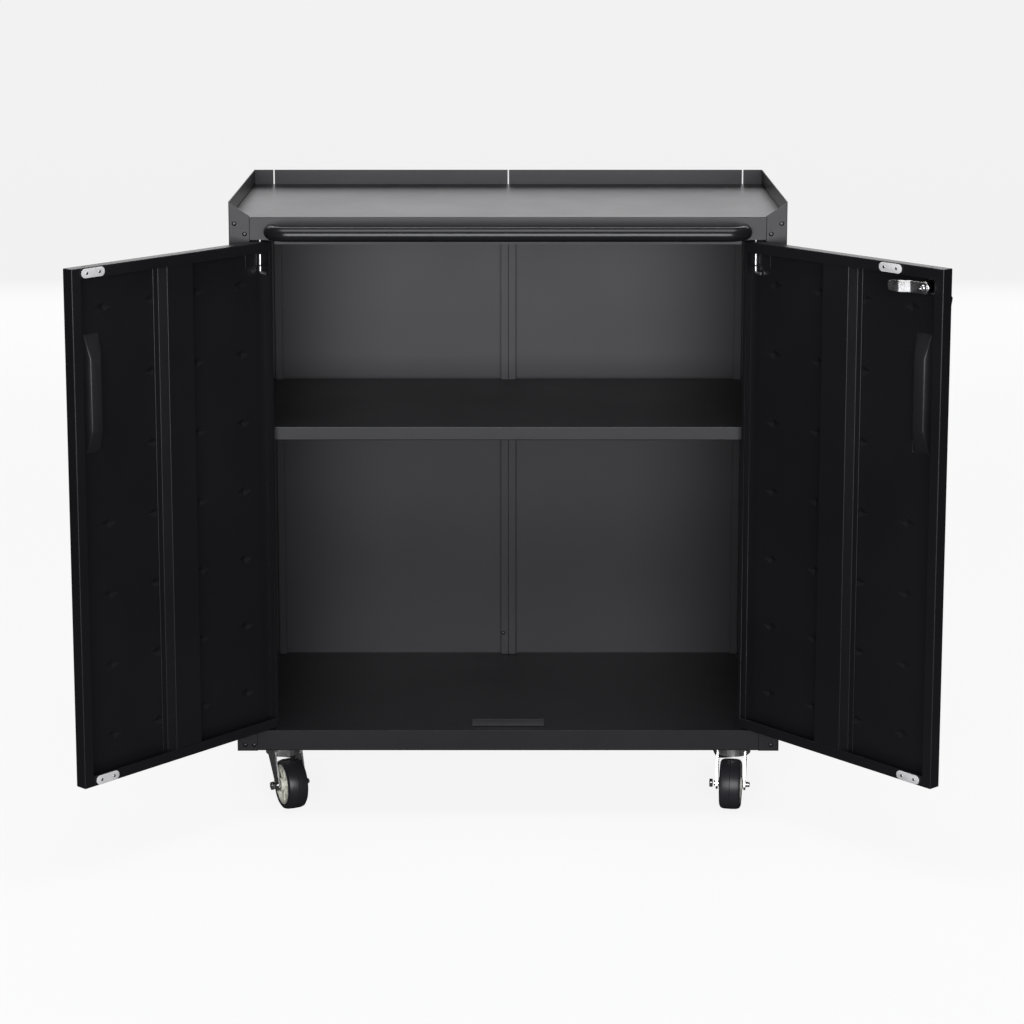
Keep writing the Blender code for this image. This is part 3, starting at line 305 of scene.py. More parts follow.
def close_up(work):
    bmesh.ops.remove_doubles(work, verts=work.verts, dist=0.00001)
    bmesh.ops.recalc_face_normals(work, faces=work.faces)


def round_edges(work, width, segments, chosen):
    """Round the chosen edges and mark the new faces for the lighter edge colour: partly wear, partly a
    painted edge highlight.
    """
    edges = [edge for edge in work.edges if edge.is_manifold and chosen(edge)]
    if not edges:
        return
    made = bmesh.ops.bevel(work, geom=edges, offset=width, offset_type="OFFSET", segments=segments,
                           profile=0.5, affect="EDGES", clamp_overlap=True)
    layer = work.faces.layers.float.get("edge") or work.faces.layers.float.new("edge")
    for face in made["faces"]:
        if face.is_valid:
            face[layer] = 1.0


def is_sharp(edge, degrees=30):
    return edge.calc_face_angle(0.0) > math.radians(degrees)


SMALLEST_FOLDED_FACE = 0.0006


def eased(node, fold, rim, axes=None, segments=3, turned_part=False):
    """A CAD sheet with its folds rounded to a bend radius and its cut rims broken."""
    work = bmesh.new()
    work.from_mesh(frame["nodes"][node].data)
    bmesh.ops.remove_doubles(work, verts=work.verts, dist=0.000002)
    bmesh.ops.dissolve_limit(work, angle_limit=math.radians(1), verts=work.verts, edges=work.edges)
    turn = axes.inverted() if axes else Matrix.Identity(4)
    places = [turn @ vert.co for vert in work.verts]
    low = [min(p[i] for p in places) for i in range(3)]
    high = [max(p[i] for p in places) for i in range(3)]

    def sides(edge):
        a, b = (turn @ vert.co for vert in edge.verts)
        count = 0
        for i in range(3):
            for limit in (low[i], high[i]):
                if abs(a[i] - limit) < 0.00005 and abs(b[i] - limit) < 0.00005:
                    count += 1
        return count

    def is_fold(edge):
        smallest = min(face.calc_area() for face in edge.link_faces)
        return is_sharp(edge, 60) and sides(edge) >= 2 and smallest > SMALLEST_FOLDED_FACE

    if fold > 0:
        round_edges(work, fold, segments, is_fold)
    if rim > 0:
        round_edges(work, rim, 1, lambda edge: is_sharp(edge, 50))
    # the edge layer marks the rounded faces: shaded smooth here, and given the lighter edge colour in the
    # materials (partly wear, partly a painted edge highlight)
    edge_wear_and_highlight = work.faces.layers.float.get("edge")
    for face in work.faces:
        face.smooth = bool(edge_wear_and_highlight) and face[edge_wear_and_highlight] > 0.5
    mesh = bpy.data.meshes.new(node + "_finished")
    work.to_mesh(mesh)
    work.free()
    return smooth(mesh, 35) if turned_part else mesh


def lathe(profile, steps=64, closed=True):
    """Spin a (radius, height) profile about Z."""
    work = bmesh.new()
    verts = [work.verts.new((r, 0.0, h)) for r, h in profile]
    edges = [work.edges.new((verts[i], verts[i + 1])) for i in range(len(verts) - 1)]
    if closed:
        edges.append(work.edges.new((verts[-1], verts[0])))
    bmesh.ops.spin(work, geom=verts + edges, axis=(0, 0, 1), cent=(0, 0, 0), steps=steps, angle=math.tau,
                   use_merge=True)
    close_up(work)
    mesh = bpy.data.meshes.new("turned")
    work.to_mesh(mesh)
    work.free()
    return smooth(mesh, 32)


def rounded_profile(points, radius, steps=4):
    """Round the corners of a closed (radius, height) profile."""
    out = []
    count = len(points)
    for i in range(count):
        before, here, after = (Vector(points[(i + k) % count]) for k in (-1, 0, 1))
        to_before, to_after = before - here, after - here
        cut = min(radius, to_before.length * 0.45, to_after.length * 0.45)
        a = here + to_before.normalized() * cut
        b = here + to_after.normalized() * cut
        for k in range(steps + 1):
            t = k / steps
            out.append(tuple(a * (1 - t) ** 2 + here * 2 * t * (1 - t) + b * t * t))
    return out


def swept(points, radius, sides=8, cyclic=False):
    """A round bar along a path, as a mesh."""
    curve = bpy.data.curves.new("bar", "CURVE")
    curve.dimensions = "3D"
    curve.bevel_depth = radius
    curve.bevel_resolution = sides
    curve.use_fill_caps = True
    line = curve.splines.new("POLY")
    line.points.add(len(points) - 1)
    for point, spot in zip(line.points, points):
        point.co = (*spot, 1.0)
    line.use_cyclic_u = cyclic
    obj = bpy.data.objects.new("bar", curve)
    bpy.context.scene.collection.objects.link(obj)
    return smooth(freeze(obj), 40)


def slab(outline, low, high, matrix, ease, segments=2):
    """A flat plate with eased edges: a closed (x, z) outline between two y places."""
    work = bmesh.new()
    face = work.faces.new([work.verts.new((x, low, z)) for x, z in outline])
    grown = bmesh.ops.extrude_face_region(work, geom=[face])
    for vert in (v for v in grown["geom"] if isinstance(v, bmesh.types.BMVert)):
        vert.co.y = high
    bmesh.ops.recalc_face_normals(work, faces=work.faces)
    if ease > 0:
        round_edges(work, ease, segments, lambda edge: is_sharp(edge, 40))
    mesh = bpy.data.meshes.new("slab")
    work.to_mesh(mesh)
    work.free()
    mesh.transform(matrix)
    return smooth(mesh, 40)


def join(parts):
    """Several meshes as one."""
    work = bmesh.new()
    for mesh in parts:
        work.from_mesh(mesh)
    joined = bpy.data.meshes.new("joined")
    work.to_mesh(joined)
    work.free()
    return smooth(joined, 40)


def arc(cx, cz, radius, start, end, steps):
    """Points round a centre from one angle to another, in degrees."""
    angles = [math.radians(start + (end - start) * k / steps) for k in range(steps + 1)]
    return [(cx + radius * math.cos(angle), cz + radius * math.sin(angle)) for angle in angles]


# ---------------------------------------------------------------- geometry nodes for what repeats
def socket_of(tree, label):
    return next(item.identifier for item in tree.interface.items_tree
                if item.item_type == "SOCKET" and item.in_out == "INPUT" and item.name == label)


def geometry_tree(name, inputs):
    tree = bpy.data.node_groups.new(name, "GeometryNodeTree")
    tree.interface.new_socket(name="Geometry", in_out="INPUT", socket_type="NodeSocketGeometry")
    for label, kind, default in inputs:
        socket = tree.interface.new_socket(name=label, in_out="INPUT", socket_type="NodeSocket" + kind)
        if default is not None:
            socket.default_value = default
    tree.interface.new_socket(name="Geometry", in_out="OUTPUT", socket_type="NodeSocketGeometry")
    return tree, tree.nodes.new("NodeGroupInput"), tree.nodes.new("NodeGroupOutput")


def finish_tree(tree, given, result, instances):
    real = tree.nodes.new("GeometryNodeRealizeInstances")
    wire(tree, instances, real.inputs["Geometry"])
    dress = tree.nodes.new("GeometryNodeSetMaterial")
    wire(tree, real.outputs["Geometry"], dress.inputs["Geometry"])
    wire(tree, given.outputs["Material"], dress.inputs["Material"])
    wire(tree, dress.outputs["Geometry"], result.inputs["Geometry"])


def make_fixing_tree():
    """Sets one fixing at each point, its top along the point's facing direction."""
    tree, given, result = geometry_tree("fixings", [("Fixing", "Object", None), ("Size", "Float", 1.0),
                                                    ("Turn", "Float", 0.4), ("Seed", "Int", 7),
                                                    ("Material", "Material", None)])
    info = tree.nodes.new("GeometryNodeObjectInfo")
    wire(tree, given.outputs["Fixing"], info.inputs["Object"])
    facing = tree.nodes.new("GeometryNodeInputNamedAttribute")
    facing.data_type = "FLOAT_VECTOR"
    facing.inputs["Name"].default_value = "facing"
    align = tree.nodes.new("FunctionNodeAlignRotationToVector")
    align.axis = "Z"
    wire(tree, facing.outputs["Attribute"], align.inputs["Vector"])
    chance = tree.nodes.new("FunctionNodeRandomValue")
    chance.data_type = "FLOAT"
    wire(tree, given.outputs["Seed"], chance.inputs["Seed"])
    spin = math_node_geo(tree, "MULTIPLY", chance.outputs[1], given.outputs["Turn"])
    roll = tree.nodes.new("FunctionNodeRotateRotation")
    roll.rotation_space = "LOCAL"
    wire(tree, align.outputs["Rotation"], roll.inputs["Rotation"])
    turn = tree.nodes.new("ShaderNodeCombineXYZ")
    wire(tree, spin, turn.inputs["Z"])
    wire(tree, turn.outputs["Vector"], roll.inputs["Rotate By"])
    place = tree.nodes.new("GeometryNodeInstanceOnPoints")
    wire(tree, given.outputs["Geometry"], place.inputs["Points"])
    wire(tree, info.outputs["Geometry"], place.inputs["Instance"])
    wire(tree, roll.outputs["Rotation"], place.inputs["Rotation"])
    wire(tree, given.outputs["Size"], place.inputs["Scale"])
    finish_tree(tree, given, result, place.outputs["Instances"])
    return tree


def math_node_geo(tree, operation, first, second):
    node = tree.nodes.new("ShaderNodeMath")
    node.operation = operation
    wire(tree, first, node.inputs[0])
    wire(tree, second, node.inputs[1])
    return node.outputs[0]


def make_ring_tree():
    """Sets teeth, ribs or balls evenly round a circle about Z."""
    tree, given, result = geometry_tree("ring_of", [("Tooth", "Object", None), ("Count", "Int", 12),
                                                    ("Radius", "Float", 0.01),
                                                    ("Material", "Material", None)])
    ring = tree.nodes.new("GeometryNodeMeshCircle")
    wire(tree, given.outputs["Count"], ring.inputs["Vertices"])
    wire(tree, given.outputs["Radius"], ring.inputs["Radius"])
    where = tree.nodes.new("GeometryNodeInputPosition")
    align = tree.nodes.new("FunctionNodeAlignRotationToVector")
    align.axis = "X"
    align.pivot_axis = "Z"
    wire(tree, where.outputs["Position"], align.inputs["Vector"])
    info = tree.nodes.new("GeometryNodeObjectInfo")
    wire(tree, given.outputs["Tooth"], info.inputs["Object"])
    place = tree.nodes.new("GeometryNodeInstanceOnPoints")
    wire(tree, ring.outputs["Mesh"], place.inputs["Points"])
    wire(tree, info.outputs["Geometry"], place.inputs["Instance"])
    wire(tree, align.outputs["Rotation"], place.inputs["Rotation"])
    finish_tree(tree, given, result, place.outputs["Instances"])
    return tree


FIXINGS = make_fixing_tree()
RING_OF = make_ring_tree()


def grown(tree, seed_mesh, **values):
    """Run a tree on a mesh and keep the result as a plain mesh."""
    host = bpy.data.objects.new("host", seed_mesh)
    bpy.context.scene.collection.objects.link(host)
    nodes = host.modifiers.new("grow", "NODES")
    nodes.node_group = tree
    for label, value in values.items():
        nodes[socket_of(tree, label)] = value
    return freeze(host)


def template(mesh):
    obj = bpy.data.objects.new("template", mesh)
    bpy.context.scene.collection.objects.link(obj)
    return obj


def fixings(name, spots, shape, mat, body, slot, size=1.0, turn=1.5, seed=7):
    """Screws, rivets or bolts at (place, facing) spots."""
    points = bpy.data.meshes.new("spots")
    points.from_pydata([tuple(place) for place, _ in spots], [], [])
    facing = points.attributes.new("facing", "FLOAT_VECTOR", "POINT")
    for item, (_, direction) in zip(facing.data, spots):
        item.vector = tuple(direction)
    master = template(shape)
    mesh = grown(FIXINGS, points, Fixing=master, Size=size, Turn=turn, Seed=seed, Material=mat)
    bpy.data.objects.remove(master, do_unlink=True)
    return piece(name, smooth(mesh, 35), mat, body, slot)


def ring_of(tooth, count, radius, mat):
    master = template(tooth)
    mesh = grown(RING_OF, bpy.data.meshes.new("none"), Tooth=master, Count=count, Radius=radius, Material=mat)
    bpy.data.objects.remove(master, do_unlink=True)
    return mesh


# ---------------------------------------------------------------- small hardware shapes
def pan_head(radius, height, recess=True):
    """Domed screw head with a cross recess, standing on Z = 0."""
    dome = [(0.0, height), (radius * 0.45, height * 0.97), (radius * 0.78, height * 0.78),
            (radius * 0.95, height * 0.42), (radius, height * 0.12), (radius * 0.97, 0.0), (0.0, 0.0)]
    head = lathe(dome, 28, closed=False)
    if not recess:
        return head
    base = bpy.data.objects.new("head", head)
    bpy.context.scene.collection.objects.link(base)
    work = bmesh.new()
    for turn in (0.0, math.pi / 2):
        size = Matrix.Diagonal((radius * 1.15, radius * 0.24, height * 1.2, 1.0))
        spot = Matrix.Rotation(turn, 4, "Z") @ Matrix.Translation((0, 0, height * 1.05))
        bmesh.ops.create_cube(work, size=1.0, matrix=spot @ size)
    cross_mesh = bpy.data.meshes.new("cross")
    work.to_mesh(cross_mesh)
    work.free()
    cross = bpy.data.objects.new("cross", cross_mesh)
    bpy.context.scene.collection.objects.link(cross)
    cut = base.modifiers.new("recess", "BOOLEAN")
    cut.operation = "DIFFERENCE"
    cut.solver = "EXACT"
    cut.use_self = True
    cut.object = cross
    mesh = freeze(base)
    bpy.data.objects.remove(cross, do_unlink=True)
    return smooth(mesh, 35)


def hexagon_head(radius, height):
    outline = arc(0.0, 0.0, radius, 0, 300, 5)
    lay_flat = Matrix.Rotation(math.radians(90), 4, "X")
    return slab(outline, -height, 0.0, lay_flat, height * 0.12)


# ---------------------------------------------------------------- cabinet
FRONT_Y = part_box("side_panel_left")[0].y
BACK_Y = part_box("back_panel_left")[1].y
FLANGE_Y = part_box("side_panel_left")[1].y
RIM_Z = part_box("side_panel_left")[1].z
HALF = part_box("side_panel_right")[1].x
MID_DEPTH = (BACK_Y - FRONT_Y) / 2

# screw places: out from the middle, down from the rim, back from the front
CORNER_SCREWS = ((0.3920, 0.0315), (0.3773, 0.0465), (0.3885, 0.8090))
EXTRA_LEFT_SCREW = (-0.3755, 0.8090)
FLANGE_SCREW_X = 0.395
PANEL_SCREW_X = 0.3545
PANEL_SCREW_STEP = 0.01
BACK_LEVELS = (0.05, 0.30, 0.55, 0.795)
SIDE_PLACES = (0.03, MID_DEPTH, 0.37)
SIDE_LEVELS = (0.80, 0.031)
SEAM_LEVELS = (0.10, 0.28, 0.46, 0.64, 0.76)
SEAM_SCREW = (-0.0082, 0.0112, 0.7515)


def finish_cabinet_sheets():
    for node, fold, rim in (
        ("side_panel_left", 0.0016, 0.0003), ("side_panel_right", 0.0016, 0.0003),
        ("back_panel_left", 0.0, 0.0003), ("back_panel_right", 0.0, 0.0003),
        ("top_tray", 0.0014, 0.0003), ("front_fascia", 0.0014, 0.0003), ("base_pan", 0.0014, 0.0003),
        ("rear_seam_strip", 0.0, 0.0003), ("front_post_left", 0.0, 0.0003), ("front_post_right", 0.0, 0.0003),
        ("door_stop_bracket", 0.0, 0.0003),
    ):
        piece(node + "_sheet", eased(node, fold, rim), COAT, "cabinet", "black_coat", node)
    piece("shelf_pan", eased("shelf", 0.0016, 0.0003), COAT, "shelf", "black_coat", "shelf")
    for hand in ("left", "right"):
        piece("magnet_" + hand, eased("magnet_catch_" + hand, 0.0008, 0.0004), FERRITE, "cabinet", "magnet",
              "magnet_catch_" + hand)
        for end in ("front", "rear"):
            node = "shelf_clip_%s_%s" % (end, hand)
            piece(node + "_finished", eased(node, 0.0, 0.0003), ZINC, "cabinet", "zinc", node)


def finish_push_handle():
    low, high, mid = extent("push_handle")
    radius = (high.z - low.z) / 2
    bend = 0.028
    half = (high.x - low.x) / 2 - radius
    front = low.y + radius
    points = [(mid.x - half, high.y, mid.z)]
    points += [(mid.x + x, y, mid.z) for x, y in arc(-half + bend, front + bend, bend, 180, 270, 18)]
    points += [(mid.x + x, y, mid.z) for x, y in arc(half - bend, front + bend, bend, 270, 360, 18)]
    points.append((mid.x + half, high.y, mid.z))
    piece("push_handle_tube", swept(points, radius, 14), COAT_TUBE, "cabinet", "black_coat", "push_handle")


def fit_cabinet_screws():
    """Pan-head screws at the front corners, on the sides, up the rear flanges and down the seam strip."""
    forwards, backwards = (0, -1, 0), (0, 1, 0)
    front = [((side * x, FRONT_Y, RIM_Z - down), forwards) for side in (-1, 1) for x, down in CORNER_SCREWS]
    front.append(((EXTRA_LEFT_SCREW[0], FRONT_Y, RIM_Z - EXTRA_LEFT_SCREW[1]), forwards))
    fixings("front_screws", front, pan_head(0.0034, 0.0018), SCREW_BLACK, "cabinet", "black_coat")
    rest = []
    for side in (-1, 1):
        for level in BACK_LEVELS:
            rest.append(((side * FLANGE_SCREW_X, FLANGE_Y, RIM_Z - level), backwards))
            rest.append(((side * PANEL_SCREW_X, BACK_Y, RIM_Z - level - PANEL_SCREW_STEP), backwards))
        for y in SIDE_PLACES:
            for level in SIDE_LEVELS:
                rest.append(((side * HALF, FRONT_Y + y, RIM_Z - level), (side, 0, 0)))
    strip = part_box("rear_seam_strip")
    for level in SEAM_LEVELS:
        rest.append(((0.0, strip[1].y, RIM_Z - level), backwards))
    fixings("panel_screws", rest, pan_head(0.0034, 0.0016), SCREW_BLACK, "cabinet", "black_coat")
    x, inwards, down = SEAM_SCREW
    inside = [((x, BACK_Y - inwards, RIM_Z - down), forwards)]
    fixings("back_seam_screw", inside, pan_head(0.0030, 0.0016), SCREW_BLACK, "cabinet", "black_coat")


def shade_strips_behind_rear_slots():
    """Painted shade: a thin black strip behind the slots in each rear flange, so they show dark as if shaded
    inside.
    """
    thick, lift, half, corner = 0.0006, 0.00005, 0.0075, 0.002
    top = RIM_Z - 0.120
    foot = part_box("base_pan")[0].z + 0.004
    for hand in ("left", "right"):
        x = extent("shelf_clip_rear_" + hand)[2].x
        outline = arc(x + half - corner, top - corner, corner, 0, 90, 4)
        outline += arc(x - half + corner, top - corner, corner, 90, 180, 4)
        outline += arc(x - half + corner, foot + corner, corner, 180, 270, 4)
        outline += arc(x + half - corner, foot + corner, corner, 270, 360, 4)
        strip = slab(outline, FLANGE_Y + lift, FLANGE_Y + thick, Matrix.Identity(4), 0.0001, 1)
        # the strip stands in for the shade inside the slots
        piece("slot_cover_" + hand, strip, COAT, "cabinet", "black_coat")


finish_cabinet_sheets()
finish_push_handle()
fit_cabinet_screws()
shade_strips_behind_rear_slots()


# ---------------------------------------------------------------- doors
def door_axes(hand):
    """Door axes: X across the door from the pin (away from the free edge on the right door), Y inwards."""
    joint = JOINTS["door_" + hand]
    side = -1 if hand == "left" else 1
    swing = math.radians(joint["range_deg"][1]) * side
    x, y, _ = joint["pos_m"]
    return side, Matrix.Translation((x, y, 0)) @ Matrix.Rotation(swing, 4, "Z")


SHEET = 0.001
GAP = 0.0003


def local_box(node, axes):
    turn = axes.inverted()
    places = [turn @ vert.co for vert in frame["nodes"][node].data.vertices]
    return [min(p[i] for p in places) for i in range(3)], [max(p[i] for p in places) for i in range(3)]


def finish_door(hand):
    side, axes = door_axes(hand)
    body = "door_" + hand
    piece("door_sheet_" + hand, eased("door_skin_" + hand, 0.0014, 0.0003, axes), COAT, body, "black_coat",
          "door_skin_" + hand)
    piece("door_rib_" + hand, eased("door_stiffener_" + hand, 0.0, 0.0004), COAT, body, "black_coat",
          "door_stiffener_" + hand)
    piece("pin_guide_" + hand, eased("pin_bracket_" + hand, 0.0, 0.0003), COAT, body, "black_coat",
          "pin_bracket_" + hand)
    finish_pull(hand, side, axes, body)
    for level in ("top", "bottom"):
        finish_strike(hand, level, axes, body)
    finish_pin(hand, axes)


def finish_pull(hand, side, axes, body):
    """Moulded finger pull: bezel and pocket outside, boat-shaped back inside."""
    low, high = local_box("pull_cup_" + hand, axes)
    skin_low, _ = local_box("door_skin_" + hand, axes)
    bezel = 0.003
    x0, x1 = low[0] + bezel, high[0] - bezel
    z0, z1 = low[2] + bezel, high[2] - bezel
    free = -side
    deep = high[1]
    skin = skin_low[1] + 2 * SHEET
    wall = 0.0014
    slope = 0.030

    def ring(work, inset, y, ends, lean):
        """One rounded rectangle of the cup's wall."""
        a, b = x0 + inset, x1 - inset
        if lean > 0:
            if free > 0:
                a += lean
            else:
                b -= lean
        top, foot = z1 - ends - inset, z0 + ends + inset
        corners = ((b, top), (a, top), (a, foot), (b, foot))
        radius = 0.0035
        out = []
        for k, (cx, cz) in enumerate(corners):
            sx = -1 if cx == b else 1
            sz = -1 if cz > (z0 + z1) / 2 else 1
            start = {0: 0, 1: 90, 2: 180, 3: 270}[k]
            for p in arc(cx + sx * radius, cz + sz * radius, radius, start, start + 90, 4):
                out.append(work.verts.new((p[0], y, p[1])))
        return out

    def bridge(work, first, second):
        for i in range(len(first)):
            j = (i + 1) % len(first)
            work.faces.new((first[i], first[j], second[j], second[i]))

    work = bmesh.new()
    face_y = low[1]
    outer = [ring(work, -bezel, face_y + 0.0011, 0.0, 0.0), ring(work, -bezel + 0.0007, face_y, 0.0, 0.0),
             ring(work, 0.0005, face_y, 0.0, 0.0), ring(work, wall, face_y + 0.0008, 0.0, 0.0),
             ring(work, wall, skin + 0.0004, 0.0015, 0.0),
             ring(work, wall + 0.0008, deep - wall - 0.001, slope, 0.0075),
             ring(work, wall + 0.0022, deep - wall, slope + 0.002, 0.0085)]
    inside = [ring(work, 0.0016, deep, slope + 0.0005, 0.0080),
              ring(work, 0.0006, deep - 0.0012, slope - 0.002, 0.0068),
              ring(work, 0.0, skin, 0.0, 0.0), ring(work, 0.0, face_y + 0.0011, 0.0, 0.0)]
    for first, second in zip(outer, outer[1:]):
        bridge(work, first, second)
    work.faces.new(outer[-1])
    work.faces.new(inside[0])
    for first, second in zip(inside, inside[1:]):
        bridge(work, first, second)
    bridge(work, inside[-1], outer[0])
    close_up(work)
    mesh = bpy.data.meshes.new("pull")
    work.to_mesh(mesh)
    work.free()
    mesh.transform(axes)
    piece("finger_pull_" + hand, smooth(mesh, 38), PLASTIC, body, "black_plastic", "pull_cup_" + hand)


def finish_strike(hand, level, axes, body):
    """Round-ended strike plate with its two rivets."""
    node = "strike_%s_%s" % (level, hand)
    low, high = local_box(node, axes)
    radius = (high[2] - low[2]) / 2
    mid_z = (high[2] + low[2]) / 2
    run = (high[0] - low[0]) / 2 - radius
    mid_x = (high[0] + low[0]) / 2
    outline = arc(mid_x + run, mid_z, radius, -90, 90, 16) + arc(mid_x - run, mid_z, radius, 90, 270, 16)
    piece(node + "_plate", slab(outline, low[1], high[1], axes, 0.0004), ZINC_DULL, body, "zinc", node)
    inward = axes.to_3x3() @ Vector((0, 1, 0))
    spots = [(axes @ Vector((mid_x + shift, high[1], mid_z)), inward) for shift in (-0.011, 0.011)]
    fixings(node + "_rivets", spots, pan_head(0.0022, 0.0005, recess=False), ZINC_PIN, body, "zinc")


def finish_pin(hand, axes):
    """Sprung hinge pin, a bent rod."""
    node = "hinge_pin_" + hand
    low, high = local_box(node, axes)
    radius = 0.00225
    bend = 2 * radius
    z = low[2] + radius
    if high[1] > 0.005:
        away, reach = (0.0, 1.0), high[1]
    else:
        sign = 1.0 if high[0] > 0.005 else -1.0
        away, reach = (sign, 0.0), max(abs(low[0]), abs(high[0]))
    path = [(0.0, high[2] - 0.0012)] + [(0.0, high[2] - 0.004)]
    path += arc(bend, z + bend, bend, 180, 270, 12) + [(reach, z)]
    points = [(axes @ Vector((away[0] * r, away[1] * r, h)))[:] for r, h in path]
    rod = swept(points, radius, 8)
    tip = lathe([(0.0, high[2]), (radius * 0.55, high[2]), (radius * 0.9, high[2] - 0.0006),
                 (radius, high[2] - 0.0013), (0.0, high[2] - 0.0013)], 24, closed=False)
    tip.transform(axes)
    piece(node + "_rod", join([rod, tip]), ZINC_PIN, node, "zinc", node)


for each in ("left", "right"):
    finish_door(each)


# ---------------------------------------------------------------- lock, cam and keys
def finish_lock():
    _, axes = door_axes("right")
    low, high = local_box("lock_housing", axes)
    x, z = (low[0] + high[0]) / 2, (low[2] + high[2]) / 2
    bezel = (high[0] - low[0]) / 2
    skin = local_box("door_skin_right", axes)[0][1]
    outward = axes @ Matrix.Translation((x, 0, z)) @ Matrix.Rotation(math.radians(90), 4, "X")
    face, back = -low[1], -high[1]
    flange = -(skin - GAP)
    barrel = 0.009
    bore = 0.0056
    points = [(bore, face), (bezel, face), (bezel, flange), (barrel, flange), (barrel, back), (bore, back)]
    body = lathe(rounded_profile(points, 0.0007, 3), 56)
    body.transform(outward)
    piece("lock_body", body, CHROME, "door_right", "chrome", "lock_housing")

    tooth_work = bmesh.new()
    bmesh.ops.create_cube(tooth_work, size=1.0, matrix=Matrix.Diagonal((0.0012, 0.0008, 0.0024, 1.0)))
    tooth = bpy.data.meshes.new("tooth")
    tooth_work.to_mesh(tooth)
    tooth_work.free()
    nut_low, nut_high = local_box("lock_nut", axes)
    teeth = ring_of(tooth, 40, 0.0102, ZINC)
    nut_place = Matrix.Translation((x, (nut_low[1] + nut_high[1]) / 2, z))
    teeth.transform(axes @ nut_place @ Matrix.Rotation(math.radians(90), 4, "X"))
    piece("lock_nut_teeth", smooth(teeth, 30), ZINC, "door_right", "zinc")
    nut = eased("lock_nut", 0.0, 0.0003, turned_part=True)
    piece("lock_nut_finished", nut, ZINC, "door_right", "zinc", "lock_nut")
    plug = eased("lock_plug", 0.0, 0.0002, turned_part=True)
    piece("lock_plug_finished", plug, CHROME, "lock", "chrome", "lock_plug")

    low, high = local_box("lock_cam", axes)
    thick = 0.002
    half = (high[2] - low[2]) / 2
    y0, y1 = low[1], high[1] - thick
    near, far = low[0], high[0]
    rise_at, rise_end = x + 0.020, x + 0.034
    work = bmesh.new()
    stations = [(near, 0.72, y0), (near + 0.0015, 0.92, y0), (near + 0.004, 1.0, y0),
                (rise_at - 0.001, 1.0, y0), (rise_at + 0.001, 1.0, y0 + 0.0006),
                (rise_end - 0.001, 1.0, y1 - 0.0006), (rise_end + 0.001, 0.98, y1),
                (far - 0.0060, 0.94, y1), (far - 0.0025, 0.80, y1), (far - 0.0008, 0.60, y1), (far, 0.40, y1)]
    rows = []
    for sx, wide, sy in stations:
        rows.append([work.verts.new((sx, sy + dy, z + sz * half * wide)) for sz, dy in
                     ((1, 0.0), (1, thick), (-1, thick), (-1, 0.0))])
    for a, b in zip(rows, rows[1:]):
        for i in range(4):
            j = (i + 1) % 4
            work.faces.new((a[i], a[j], b[j], b[i]))
    work.faces.new(rows[0])
    work.faces.new(list(reversed(rows[-1])))
    close_up(work)
    round_edges(work, 0.0003, 1, lambda edge: is_sharp(edge, 60))
    cam = bpy.data.meshes.new("cam")
    work.to_mesh(cam)
    work.free()
    cam.transform(axes)
    piece("lock_cam_lever", smooth(cam, 35), ZINC, "lock", "zinc", "lock_cam")
    inward = axes.to_3x3() @ Vector((0, 1, 0))
    screw_spot = [(axes @ Vector((x, y0 + thick, z)), inward)]
    fixings("cam_screw", screw_spot, pan_head(0.0047, 0.0024), CHROME, "lock", "chrome")
    finish_keys(axes, x, z)


